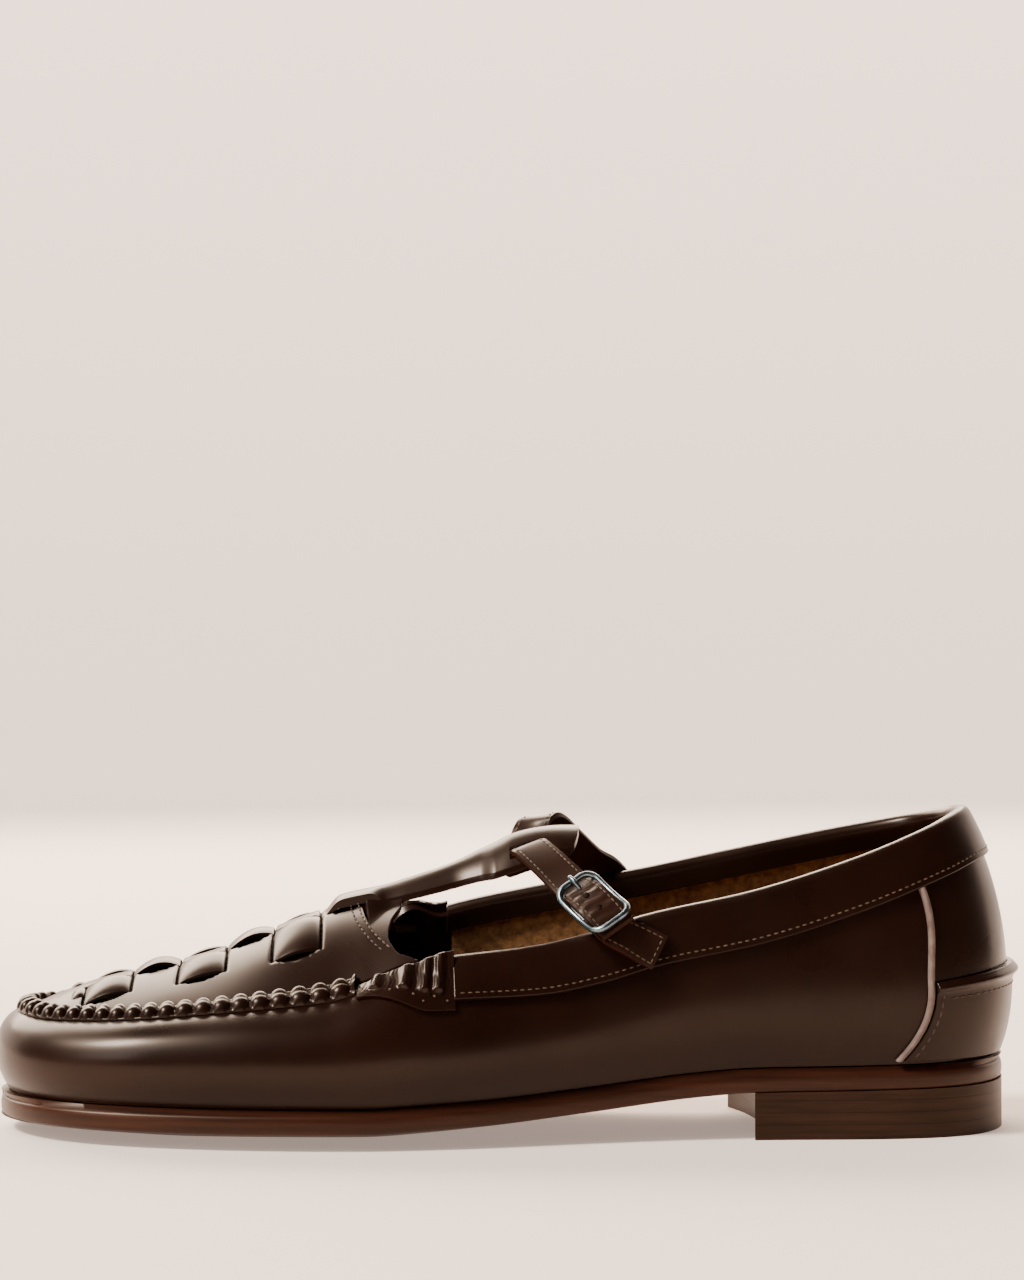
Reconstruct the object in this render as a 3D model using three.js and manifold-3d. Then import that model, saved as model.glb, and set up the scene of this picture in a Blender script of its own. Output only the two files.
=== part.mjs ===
// A woven T-bar loafer of dark brown leather, the left shoe of a pair, standing empty on its sole and heel.
// Millimetres. The toe points to -X, the heel to +X, the lateral (buckle) side to -Y, and +Z is up.
// Lengths are worked out from the sole's toe tip; the finished shoe is then centred over its footprint.

import * as THREE from 'three';
import { mergeVertices } from 'three/addons/utils/BufferGeometryUtils.js';
import Module from 'manifold-3d';

const wasm = await Module();
wasm.setup();

// Driving dimensions
const SHOE_LENGTH = 262.8; // outsole, toe tip to back of heel
const BALL_WIDTH = 91; // outsole across the ball of the foot
const COLLAR_HEIGHT = 81.5; // floor to the upper's edge at the back of the heel
const INSTEP_HEIGHT = 0.945 * COLLAR_HEIGHT; // floor to the T-bar where the strap passes under it
const HEEL_HEIGHT = 12.4; // stacked heel block
const HEEL_LENGTH = 69; // breast to back
const BREAST_HOLLOW = 5; // how far the heel's breast curves in
const SOLE_THICKNESS = 4.7;
const SOLE_MARGIN = 2.2; // rim of the outsole beyond the upper's foot
const SOLE_GROOVE = 1.6; // depth of the groove between the rim and the upper
const UPPER_WALL = 2;
const BELLY_OVERHANG = 4.2; // how far the wall's lower control line stands outside the sole
const LASTING_MARGIN = 10; // leather turned in under the insole
const INSOLE_THICKNESS = 2;
const APRON_THICKNESS = 2.2;
const APRON_INSET = 0.8; // apron's edge inside the wall's top edge
const WEAVE_START = 22.6; // first woven cell, from the toe tip
const WEAVE_PITCH = 12.2;
const WEAVE_CELLS = 6;
const COLUMN_SPACING = 12.2;
const STRIP_WIDTH = 11.4;
const STRIP_SPREAD = 1.05; // an outer strip is wider by this than the one before it
const STRIP_THICKNESS = 1.6;
const STRIP_RISE = 3.2; // top of a raised strip above the apron
const SEAM_WIDTH = 5.2;
const SEAM_HEIGHT = 2.2;
const BAND_DEPTH = 11.5; // collar band, outer leg
const LINING_DEPTH = 5; // collar band, inner leg
const BAND_THICKNESS = 1.2;
const TAB_THICKNESS = 2.2;
const TAB_FRONT_DEPTH = 5.5;
const TAB_REAR_DEPTH = 14;
const TAB_STAND = 2.6; // how far the tab's rear corner stands above the collar's edge
const TAB_FOLDS = 4;
const COUNTER_THICKNESS = 1.2;
const COUNTER_HEIGHT = 43; // floor to the counter's rolled ridge at the back
const RIDGE_ROLL = 1.5; // how far the ridge stands out beyond the counter
const PIPING_WIDTH = 1.6;
const PIPING_THICKNESS = 1.2;
const TBAR_THICKNESS = 1.6;
const TBAR_TUCK = 9; // T-bar leather hidden under the apron's rear edge
const SLIT_LENGTH = 13.4;
const SLIT_WIDTH = 2.9;
const SLIT_INNER = 6.6; // from the T-bar's centre line to the slit
const PADDLE_HALF = SLIT_INNER + SLIT_WIDTH + 1.5; // half width of the T-bar's slit end
const MARGIN_DROP = 2.8; // how far the strap presses the paddle's margins down
const STRAP_WIDTH = 9.5;
const STRAP_THICKNESS = 1.6;
const STRAP_SEWN_DEPTH = 15; // strap's far end below the collar's edge
const ANCHOR_SEWN_DEPTH = 9.5;
const BUCKLE_LENGTH = 20;
const BUCKLE_WIDTH = 13.6;
const BUCKLE_WIRE = 1.6;
const BAR_WIRE = 1.4;
const PRONG_WIRE = 1.2;
const CLEARANCE = 0.3; // gap between pieces that lie against each other

// Outsole outline: shares of SHOE_LENGTH from the toe, and of BALL_WIDTH to each side
const SOLE_TIP_ACROSS = 0.044;
const SOLE_OUTLINE = [
  { along: 0.02, lateral: 0.165, medial: 0.242 },
  { along: 0.06, lateral: 0.297, medial: 0.341 },
  { along: 0.12, lateral: 0.396, medial: 0.418 },
  { along: 0.2, lateral: 0.467, medial: 0.473 },
  { along: 0.28, lateral: 0.505, medial: 0.489 },
  { along: 0.36, lateral: 0.516, medial: 0.473 },
  { along: 0.45, lateral: 0.484, medial: 0.418 },
  { along: 0.55, lateral: 0.418, medial: 0.335 },
  { along: 0.65, lateral: 0.365, medial: 0.297 },
  { along: 0.75, lateral: 0.345, medial: 0.302 },
  { along: 0.85, lateral: 0.346, medial: 0.33 },
  { along: 0.92, lateral: 0.319, medial: 0.313 },
  { along: 0.97, lateral: 0.231, medial: 0.231 },
];

// Outsole's underside: shares of SHOE_LENGTH, and of HEEL_HEIGHT at its centre line and edge
const SOLE_PROFILE = [
  { along: 0, centre: 0.29, edge: 0.33 },
  { along: 0.06, centre: 0.17, edge: 0.34 },
  { along: 0.12, centre: 0.08, edge: 0.335 },
  { along: 0.2, centre: 0, edge: 0.33 },
  { along: 0.36, centre: 0, edge: 0.335 },
  { along: 0.42, centre: 0.08, edge: 0.39 },
  { along: 0.49, centre: 0.27, edge: 0.475 },
  { along: 0.58, centre: 0.54, edge: 0.65 },
  { along: 0.68, centre: 0.82, edge: 0.88 },
  { along: 0.737, centre: 0.96, edge: 0.96 },
  { along: 0.8, centre: 0.98, edge: 0.98 },
  { along: 1, centre: 1.04, edge: 1.04 },
];

// Upper's top edge, the moc seam and then the collar: shares of SHOE_LENGTH, BALL_WIDTH and COLLAR_HEIGHT
const EDGE_TOE = 0.0247;
const EDGE_BACK = 0.9646;
const EDGE_TOE_ACROSS = 0.038;
const EDGE_LINE = [
  { along: EDGE_TOE, lateralHeight: 0.38, medialHeight: 0.38 },
  { along: 0.057, lateral: 0.154, medial: 0.209, lateralHeight: 0.37, medialHeight: 0.373 },
  { along: 0.103, lateral: 0.242, medial: 0.286, lateralHeight: 0.375, medialHeight: 0.381 },
  { along: 0.155, lateral: 0.308, medial: 0.335, lateralHeight: 0.388, medialHeight: 0.4 },
  { along: 0.2, lateral: 0.341, medial: 0.363, lateralHeight: 0.403, medialHeight: 0.42 },
  { along: 0.25, lateral: 0.363, medial: 0.374, lateralHeight: 0.42, medialHeight: 0.443 },
  { along: 0.33, lateral: 0.374, medial: 0.375, lateralHeight: 0.452, medialHeight: 0.49 },
  { along: 0.365, lateral: 0.374, medial: 0.374, lateralHeight: 0.49, medialHeight: 0.54 },
  { along: 0.405, lateral: 0.37, medial: 0.371, lateralHeight: 0.54, medialHeight: 0.6 },
  { along: 0.445, lateral: 0.363, medial: 0.366, lateralHeight: 0.556, medialHeight: 0.65 },
  { along: 0.53, lateral: 0.346, medial: 0.345, lateralHeight: 0.584, medialHeight: 0.708 },
  { along: 0.586, lateral: 0.333, medial: 0.328, lateralHeight: 0.625, medialHeight: 0.74 },
  { along: 0.632, lateral: 0.325, medial: 0.313, lateralHeight: 0.672, medialHeight: 0.763 },
  { along: 0.738, lateral: 0.313, medial: 0.293, lateralHeight: 0.745, medialHeight: 0.836 },
  { along: 0.837, lateral: 0.29, medial: 0.275, lateralHeight: 0.843, medialHeight: 0.905 },
  { along: 0.913, lateral: 0.222, medial: 0.22, lateralHeight: 0.935, medialHeight: 0.955 },
  { along: 0.951, lateral: 0.118, medial: 0.12, lateralHeight: 0.985, medialHeight: 0.985 },
  { along: EDGE_BACK, lateralHeight: 1, medialHeight: 1 },
];

// Wall between the sole and the top edge: belly and drop are shares of COLLAR_HEIGHT for the heights of the
// two control lines above the sole and below the edge, shoulder is how far out the upper one stands
const WALL_SHAPE = [
  { along: 0, belly: 0.1, shoulder: 0.75, drop: 0.004 },
  { along: 0.1, belly: 0.115, shoulder: 0.74, drop: 0.012 },
  { along: 0.25, belly: 0.14, shoulder: 0.7, drop: 0.03 },
  { along: 0.36, belly: 0.155, shoulder: 0.66, drop: 0.06 },
  { along: 0.45, belly: 0.165, shoulder: 0.62, drop: 0.13 },
  { along: 0.6, belly: 0.17, shoulder: 0.6, drop: 0.17 },
  { along: 0.75, belly: 0.165, shoulder: 0.64, drop: 0.21 },
  { along: 0.9, belly: 0.165, shoulder: 0.78, drop: 0.25 },
  { along: 1, belly: 0.165, shoulder: 0.86, drop: 0.26 },
];

// Apron's centre line: shares of SHOE_LENGTH and INSTEP_HEIGHT
const APRON_ROUNDNESS = 1.65; // power of the cross curve
const APRON_REAR = 0.357; // share of SHOE_LENGTH at the centre
const APRON_REAR_SWEEP = 11; // how much further back the apron's rear corners reach
const APRON_REAR_HALF = 30;
const APRON_RIDGE = [
  { along: 0.0247, height: 0.402 },
  { along: 0.0685, height: 0.466 },
  { along: 0.103, height: 0.505 },
  { along: 0.139, height: 0.534 },
  { along: 0.198, height: 0.582 },
  { along: 0.253, height: 0.648 },
  { along: 0.289, height: 0.698 },
  { along: 0.322, height: 0.738 },
  { along: 0.365, height: 0.777 },
  { along: 0.402, height: 0.812 },
  { along: 0.447, height: 0.85 },
];

// T-bar from its tongue on the apron to its slit end: shares of SHOE_LENGTH, of INSTEP_HEIGHT for the crown
// line, of PADDLE_HALF for the half width, and of INSTEP_HEIGHT for how far its edges hang below the crown
const TBAR_START = 0.3215;
const TBAR_END = 0.575;
const TBAR_CROWN = [
  { along: 0.3215, height: 0.763, half: 0.52, drop: 0.013 },
  { along: 0.339, height: 0.786, half: 0.52, drop: 0.014 },
  { along: 0.3645, height: 0.805, half: 0.52, drop: 0.014 },
  { along: 0.382, height: 0.818, half: 0.55, drop: 0.045 },
  { along: 0.402, height: 0.839, half: 0.585, drop: 0.052 },
  { along: 0.447, height: 0.89, half: 0.6, drop: 0.065 },
  { along: 0.475, height: 0.935, half: 0.76, drop: 0.083 },
  { along: 0.491, height: 0.96, half: 0.97, drop: 0.096 },
  { along: 0.509, height: 0.99, half: 1, drop: 0.104 },
  { along: 0.533, height: 1.01, half: 1, drop: 0.096 },
  { along: 0.556, height: 1.018, half: 1, drop: 0.076 },
  { along: 0.575, height: 1.018, half: 1, drop: 0.074 },
];
const PADDLE_ROUNDING = 9;
const STRAP_CROSSING = 0.521; // share of SHOE_LENGTH where the strap passes under the T-bar
const STRAP_PLAY = 1.3; // room for the strap to bend under the T-bar
const STRAP_DRIFT = 1.8; // strap's way towards the heel between the T-bar's centre and its margins

// Throat edge of the T-bar's base: shares of BALL_WIDTH from the centre, and of SHOE_LENGTH
const THROAT_EDGE = [
  { across: 0, along: 0.4 },
  { across: 0.077, along: 0.398 },
  { across: 0.154, along: 0.387 },
  { across: 0.209, along: 0.384 },
  { across: 0.28, along: 0.392 },
  { across: 0.325, along: 0.414 },
];
const TBAR_BASE_HALF = 0.325;
const SADDLE_RUN = 3; // T-bar's base climbs to the crown over this length behind the apron
const SADDLE_SINK = 0.3; // base's crown below the neck's

// Places along the shoe, as shares of SHOE_LENGTH
const SEAM_END = 0.354;
const TAB_START = 0.357;
const TAB_END = 0.443;
const BAND_START = 0.4455;
const PIPING_FOOT = 0.878;
const PIPING_KNEE = 0.909;
const PIPING_TOP = 0.905;
const COLLAR_CROSSING = 0.616;
const ANCHOR_END = 0.638;

// Buckle's place on the strap: shares of SHOE_LENGTH, BALL_WIDTH and INSTEP_HEIGHT
const BUCKLE_PLACE = { along: 0.583, across: -0.327, height: 0.772 };
const STRAP_BELOW_SLIT = { along: 0.5415, across: -0.171, height: 0.901 };
// Strap's far arch, popped up out of its slit; lean is its normal's run to the side over its rise
const STRAP_FAR_ARCH = [
  { along: 0.61, across: 0.339, height: 0.84, lean: 0.85 },
  { along: 0.5905, across: 0.291, height: 0.88, lean: 0.95 },
  { along: 0.57, across: 0.242, height: 0.945, lean: 1.1 },
  { along: 0.552, across: 0.198, height: 1.005, lean: 0.75 },
  { along: 0.538, across: 0.154, height: 1.03, lean: -0.2 },
  { along: 0.529, across: 0.125, height: 0.985, lean: -1.3 },
];

// Monotone cubic through a table's rows
function read(rows, column, along, key = 'along') {
  const last = rows.length - 1;
  const x = THREE.MathUtils.clamp(along, rows[0][key], rows[last][key]);
  let i = 0;
  while (i < last - 1 && x > rows[i + 1][key]) i += 1;
  const slope = (k) => (rows[k + 1][column] - rows[k][column]) / (rows[k + 1][key] - rows[k][key]);
  const tangent = (k) => {
    if (k === 0) return slope(0);
    if (k === last) return slope(last - 1);
    const before = slope(k - 1);
    const after = slope(k);
    return before * after <= 0 ? 0 : (2 * before * after) / (before + after);
  };
  const step = rows[i + 1][key] - rows[i][key];
  return hermite((x - rows[i][key]) / step, rows[i][column], rows[i + 1][column],
    tangent(i) * step, tangent(i + 1) * step);
}

function hermite(t, start, end, startTangent, endTangent) {
  const t2 = t * t;
  const t3 = t2 * t;
  return start * (2 * t3 - 3 * t2 + 1) + startTangent * (t3 - 2 * t2 + t)
    + end * (3 * t2 - 2 * t3) + endTangent * (t3 - t2);
}

// A ring round the shoe has an angle: 0 at the toe, pi at the heel, lateral side first. Its places along
// the shoe follow half a cosine, so that both ends close round.
function ringAngle(along, start, end) {
  const share = THREE.MathUtils.clamp((along - start) / (end - start), 0, 1);
  return Math.acos(1 - 2 * share);
}

// Periodic cubic through the half widths of a table, by angle
function ringAcross(rows, start, end, tip) {
  const sides = rows.filter((row) => row.lateral !== undefined);
  const round = (row) => 2 * Math.PI - ringAngle(row.along, start, end);
  const knots = [
    { at: 0, value: tip },
    ...sides.map((row) => ({ at: ringAngle(row.along, start, end), value: -row.lateral })),
    { at: Math.PI, value: 0 },
    ...sides.toReversed().map((row) => ({ at: round(row), value: row.medial })),
  ];
  const count = knots.length;
  const knot = (k) => {
    const turns = Math.floor(k / count);
    const base = knots[k - turns * count];
    return { at: base.at + turns * 2 * Math.PI, value: base.value };
  };
  const tangent = (k) => (knot(k + 1).value - knot(k - 1).value) / (knot(k + 1).at - knot(k - 1).at);
  return (angle) => {
    const a = THREE.MathUtils.euclideanModulo(angle, 2 * Math.PI);
    let i = count - 1;
    while (knots[i].at > a) i -= 1;
    const step = knot(i + 1).at - knot(i).at;
    const t = (a - knot(i).at) / step;
    const tangents = [tangent(i) * step, tangent(i + 1) * step];
    return hermite(t, knot(i).value, knot(i + 1).value, ...tangents) * BALL_WIDTH;
  };
}

const soleAcross = ringAcross(SOLE_OUTLINE, 0, 1, SOLE_TIP_ACROSS);
const edgeAcross = ringAcross(EDGE_LINE, EDGE_TOE, EDGE_BACK, EDGE_TOE_ACROSS);

const isLateral = (angle) => THREE.MathUtils.euclideanModulo(angle, 2 * Math.PI) <= Math.PI;
const share = (angle) => (1 - Math.cos(angle)) / 2;
const soleUnder = (x, column) => read(SOLE_PROFILE, column, x / SHOE_LENGTH) * HEEL_HEIGHT;
const featherHeight = (x) => soleUnder(x, 'edge') + SOLE_THICKNESS + SOLE_GROOVE;

// The outsole's outline moved out by a distance
function outline(angle, out) {
  const x = share(angle) * (SHOE_LENGTH + 2 * out) - out;
  return new THREE.Vector3(x, soleAcross(angle) * (1 + 2 * out / BALL_WIDTH), featherHeight(x));
}

function topEdge(angle) {
  const along = EDGE_TOE + share(angle) * (EDGE_BACK - EDGE_TOE);
  const column = isLateral(angle) ? 'lateralHeight' : 'medialHeight';
  const height = read(EDGE_LINE, column, along) * COLLAR_HEIGHT;
  return new THREE.Vector3(along * SHOE_LENGTH, edgeAcross(angle), height);
}

// Outer surface of the upper: a cubic from the sole (level 0) to the top edge (level 1) at each angle
function wall(angle, level) {
  const foot = outline(angle, -SOLE_MARGIN);
  const belly = outline(angle, BELLY_OVERHANG);
  const edge = topEdge(angle);
  const row = (column) => read(WALL_SHAPE, column, share(angle));
  belly.z = foot.z + row('belly') * COLLAR_HEIGHT;
  const shoulder = edge.clone().lerp(belly, row('shoulder'));
  shoulder.z = edge.z - row('drop') * COLLAR_HEIGHT;
  return new THREE.CubicBezierCurve3(foot, belly, shoulder, edge).getPoint(level);
}

function wallNormal(angle, level) {
  const step = 0.01;
  const low = Math.max(level - step, 0);
  const high = Math.min(level + step, 1);
  const round = wall(angle + step, level).sub(wall(angle - step, level));
  const up = wall(angle, high).sub(wall(angle, low));
  return round.cross(up).normalize();
}

const offWall = (angle, level, out) => wall(angle, level).addScaledVector(wallNormal(angle, level), out);

// Level at which the wall has dropped a distance below its top edge, measured along the wall
function levelBelowEdge(angle, drop) {
  const steps = 60;
  let length = 0;
  let previous = wall(angle, 1);
  for (let i = steps - 1; i >= 0; i -= 1) {
    const point = wall(angle, i / steps);
    const piece = point.distanceTo(previous);
    if (length + piece >= drop) return (i + 1 - (drop - length) / piece) / steps;
    length += piece;
    previous = point;
  }
  return 0;
}

// Level at which the wall reaches a height
function levelAtHeight(angle, height) {
  let low = 0;
  let high = 1;
  for (let i = 0; i < 24; i += 1) {
    const middle = (low + high) / 2;
    if (wall(angle, middle).z < height) low = middle;
    else high = middle;
  }
  return low;
}

// Angle on the lateral side at which the wall's level passes a place along the shoe
function angleAt(along, level) {
  let low = 0;
  let high = Math.PI;
  for (let i = 0; i < 24; i += 1) {
    const middle = (low + high) / 2;
    if (wall(middle, level).x < along * SHOE_LENGTH) low = middle;
    else high = middle;
  }
  return low;
}

const onSide = (angle, medial) => (medial ? 2 * Math.PI - angle : angle);
const smooth = (t) => THREE.MathUtils.smoothstep(t, 0, 1);

function steps(count, from = 0, to = 1) {
  return Array.from({ length: count + 1 }, (_, i) => from + (to - from) * i / count);
}

// Closed geometry from points and triangles, welded and turned to face out
function closedGeometry(points, triangles) {
  const raw = new THREE.BufferGeometry();
  raw.setAttribute('position', new THREE.Float32BufferAttribute(points.flatMap((p) => [p.x, p.y, p.z]), 3));
  raw.setIndex(triangles);
  const geometry = mergeVertices(raw, 0.002);
  const index = geometry.index.array;
  const kept = [];
  for (let i = 0; i < index.length; i += 3) {
    const [a, b, c] = [index[i], index[i + 1], index[i + 2]];
    if (a !== b && b !== c && c !== a) kept.push(a, b, c);
  }
  if (signedVolume(geometry.attributes.position, kept) < 0) kept.reverse();
  geometry.setIndex(kept);
  return geometry;
}

function signedVolume(position, index) {
  const corner = (i) => new THREE.Vector3().fromBufferAttribute(position, index[i]);
  let volume = 0;
  for (let i = 0; i < index.length; i += 3) volume += corner(i).dot(corner(i + 1).cross(corner(i + 2)));
  return volume / 6;
}

// A sheet with thickness: two faces over the same grid of u and v, closed round its border
function sheet(us, vs, top, bottom) {
  const points = [top, bottom].flatMap((face) => us.flatMap((u) => vs.map((v) => face(u, v))));
  const row = vs.length;
  const layer = us.length * row;
  const triangles = [];
  for (let i = 0; i < us.length - 1; i += 1) {
    for (let j = 0; j < row - 1; j += 1) {
      const a = i * row + j;
      const d = a + row + 1;
      triangles.push(a, a + row, d, a, d, a + 1);
      triangles.push(a + layer, d + layer, a + row + layer, a + layer, a + 1 + layer, d + layer);
    }
  }
  const border = [
    ...us.map((_, i) => i * row),
    ...vs.slice(1).map((_, j) => (us.length - 1) * row + j + 1),
    ...us.slice(1).map((_, i) => (us.length - 2 - i) * row + row - 1),
    ...vs.slice(1).map((_, j) => row - 2 - j),
  ];
  for (let k = 0; k < border.length - 1; k += 1) {
    const p = border[k];
    const q = border[k + 1];
    triangles.push(q, p, p + layer, q, p + layer, q + layer);
  }
  return closedGeometry(points, triangles);
}

// A closed section carried round a closed path
function ring(count, section) {
  const rows = steps(count).slice(0, -1).map(section);
  const size = rows[0].length;
  const triangles = [];
  for (let i = 0; i < count; i += 1) {
    for (let j = 0; j < size; j += 1) {
      const a = i * size + j;
      const b = i * size + (j + 1) % size;
      const c = ((i + 1) % count) * size + j;
      const d = ((i + 1) % count) * size + (j + 1) % size;
      triangles.push(a, c, d, a, d, b);
    }
  }
  return closedGeometry(rows.flat(), triangles);
}

// A strap along points with their outward normals, of a width and thickness
function strapCurve(stations) {
  const path = new THREE.CatmullRomCurve3(stations.map((s) => s.point), false, 'catmullrom');
  const facing = new THREE.CatmullRomCurve3(stations.map((s) => s.normal), false, 'catmullrom');
  return (u) => {
    const tangent = path.getTangent(u);
    const across = tangent.clone().cross(facing.getPoint(u)).normalize();
    return { point: path.getPoint(u), across, normal: across.clone().cross(tangent).normalize() };
  };
}

function strap(stations, width, thickness, count) {
  const curve = strapCurve(stations);
  const face = (side) => (u, v) => {
    const { point, across, normal } = curve(u);
    return point.addScaledVector(across, v * width / 2).addScaledVector(normal, side * thickness / 2);
  };
  return sheet(steps(count), [-1, 1], face(1), face(-1));
}

function toSolid(geometry) {
  const { position } = geometry.attributes;
  const triVerts = new Uint32Array(geometry.index.array);
  const vertProperties = new Float32Array(position.array);
  return new wasm.Manifold(new wasm.Mesh({ numProp: 3, vertProperties, triVerts }));
}

function toGeometry(solid) {
  const { numProp, vertProperties, triVerts } = solid.getMesh();
  const geometry = new THREE.BufferGeometry();
  geometry.setAttribute('position', new THREE.BufferAttribute(vertProperties, numProp));
  geometry.setIndex(new THREE.BufferAttribute(triVerts, 1));
  return geometry;
}

// Upper: one wall round the foot, turned in at its foot, open underneath, at the collar and over the instep
function upper() {
  const levels = steps(8);
  const inside = steps(6, 1, 0.14);
  const section = (turn) => {
    const angle = turn * 2 * Math.PI;
    const foot = wall(angle, 0);
    const inward = wallNormal(angle, 0).setZ(0).normalize().negate();
    const flange = foot.clone().addScaledVector(inward, LASTING_MARGIN);
    const bend = foot.clone().addScaledVector(inward, UPPER_WALL * 0.75);
    return [
      ...levels.map((level) => wall(angle, level)),
      ...inside.map((level) => offWall(angle, level, -UPPER_WALL)),
      bend.setZ(foot.z + UPPER_WALL),
      flange.clone().setZ(foot.z + UPPER_WALL),
      flange,
    ];
  };
  return ring(72, section);
}

const acrossSteps = [-1, -0.94, -0.62, -0.26, 0.26, 0.62, 0.94, 1];
const NOSE = 0.025; // share of a half turn at which a plate's rounded ends are closed
const lengthwise = (count) => steps(count, NOSE, 1 - NOSE);

// Point on a level outline, at a share across from the lateral to the medial edge
function acrossOutline(u, v, out) {
  const angle = u * Math.PI;
  const lateral = outline(angle, out);
  const medial = outline(2 * Math.PI - angle, out);
  return lateral.lerp(medial, (v + 1) / 2);
}

// Outsole: flat under the ball and the heel, crowned towards its edges, thinned round its rim
function outsole() {
  const crown = (v) => Math.max(0, (Math.abs(v) - 0.26) / 0.74) ** 1.6;
  const top = (u, v) => {
    const point = acrossOutline(u, v, 0);
    return point.setZ(point.z - CLEARANCE - (Math.abs(v) > 0.95 ? SOLE_GROOVE - CLEARANCE : 0));
  };
  const bottom = (u, v) => {
    const point = acrossOutline(u, v, 0);
    const centre = soleUnder(point.x, 'centre');
    return point.setZ(centre + (soleUnder(point.x, 'edge') - centre) * crown(v));
  };
  return sheet(lengthwise(36), acrossSteps, top, bottom);
}

// Stacked heel under the outsole's seat, its breast curved in
function heel() {
  const place = (u, v) => {
    const breast = SHOE_LENGTH - HEEL_LENGTH + BREAST_HOLLOW * (1 - v * v);
    const x = breast + (SHOE_LENGTH - breast) * Math.sin(u * Math.PI / 2);
    const angle = ringAngle(x / SHOE_LENGTH, 0, 1);
    const lateral = soleAcross(angle);
    return new THREE.Vector3(x, lateral + (soleAcross(2 * Math.PI - angle) - lateral) * (v + 1) / 2, 0);
  };
  const top = (u, v) => {
    const point = place(u, v);
    return point.setZ(soleUnder(point.x, 'centre') - CLEARANCE);
  };
  return sheet(steps(10, 0, 1 - NOSE), steps(6, -1, 1), top, place);
}

// Insole resting on the turned-in leather
function insole() {
  const inset = -SOLE_MARGIN - UPPER_WALL - 2 * CLEARANCE;
  const lift = UPPER_WALL + 2 * CLEARANCE;
  const face = (rise) => (u, v) => {
    const point = acrossOutline(u, v, inset);
    return point.setZ(point.z + lift + rise);
  };
  return sheet(lengthwise(22), steps(2, -1, 1), face(INSOLE_THICKNESS), face(0));
}

// Apron's outer surface over a place along and across the shoe
function apronHeight(x, y) {
  const angle = ringAngle(x / SHOE_LENGTH, EDGE_TOE, EDGE_BACK);
  const lateral = topEdge(angle);
  const medial = topEdge(2 * Math.PI - angle);
  const width = Math.max(medial.y - lateral.y, 0.01);
  const s = THREE.MathUtils.clamp(2 * (y - lateral.y) / width - 1, -1, 1);
  const edge = THREE.MathUtils.lerp(lateral.z, medial.z, (s + 1) / 2);
  const crown = read(APRON_RIDGE, 'height', x / SHOE_LENGTH) * INSTEP_HEIGHT;
  return crown - (crown - edge) * Math.abs(s) ** APRON_ROUNDNESS;
}

const onApron = (x, y, lift = 0) => new THREE.Vector3(x, y, apronHeight(x, y) + lift);
const apronRear = (y) => APRON_REAR * SHOE_LENGTH + APRON_REAR_SWEEP * Math.abs(y / APRON_REAR_HALF) ** 2.6;

// A place on the apron, from its toe (u 0) to its rear edge (u 1) and from side to side (v -1 to 1)
function apronPlace(u, v) {
  const rearAcross = v * 0.345 * BALL_WIDTH;
  const rear = ringAngle(apronRear(rearAcross) / SHOE_LENGTH, EDGE_TOE, EDGE_BACK);
  const angle = u * rear;
  const lateral = topEdge(angle);
  const medial = topEdge(2 * Math.PI - angle);
  const half = Math.max((medial.y - lateral.y) / 2 - APRON_INSET * (1 + u * u), 0);
  const middle = (medial.y + lateral.y) / 2;
  return { x: lateral.x + APRON_INSET * (1 - u), y: middle + v * half };
}

const weaveMiddle = (x) => {
  const angle = ringAngle(x / SHOE_LENGTH, EDGE_TOE, EDGE_BACK);
  return (topEdge(angle).y + topEdge(2 * Math.PI - angle).y) / 2;
};

// One raised strip of the weave, an arch let into the apron at both ends
function wovenStrip(column, cell) {
  const rise = (u) => 0.5 + (STRIP_RISE - 0.5) * Math.sin(Math.PI * u) ** 0.8;
  const face = (depth) => (u, v) => {
    const x = WEAVE_START + (cell + u) * WEAVE_PITCH;
    const spread = column * (1 + v * column) * (cell - 2) * STRIP_SPREAD / 2;
    const y = weaveMiddle(x) + column * COLUMN_SPACING + v * STRIP_WIDTH / 2 + spread;
    return onApron(x, y, rise(u) - depth);
  };
  return sheet(steps(6), [-1, 0, 1], face(0), face(STRIP_THICKNESS));
}

// Apron with its basket weave: outer columns rise on the even cells, the centre column on the odd ones, but
// for the last, where the T-bar's tongue lies
function apron() {
  const face = (depth) => (u, v) => {
    const place = apronPlace(u, v);
    return onApron(place.x, place.y, -depth);
  };
  let solid = toSolid(sheet(steps(16, 2 * NOSE), steps(10, -1, 1), face(0), face(APRON_THICKNESS)));
  for (const column of [-1, 0, 1]) {
    for (let cell = 0; cell < WEAVE_CELLS; cell += 1) {
      const raised = (cell % 2 === 0) === (column !== 0);
      const underTongue = column === 0 && cell === WEAVE_CELLS - 1;
      if (raised && !underTongue) solid = solid.add(toSolid(wovenStrip(column, cell)));
    }
  }
  return toGeometry(solid);
}

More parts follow.
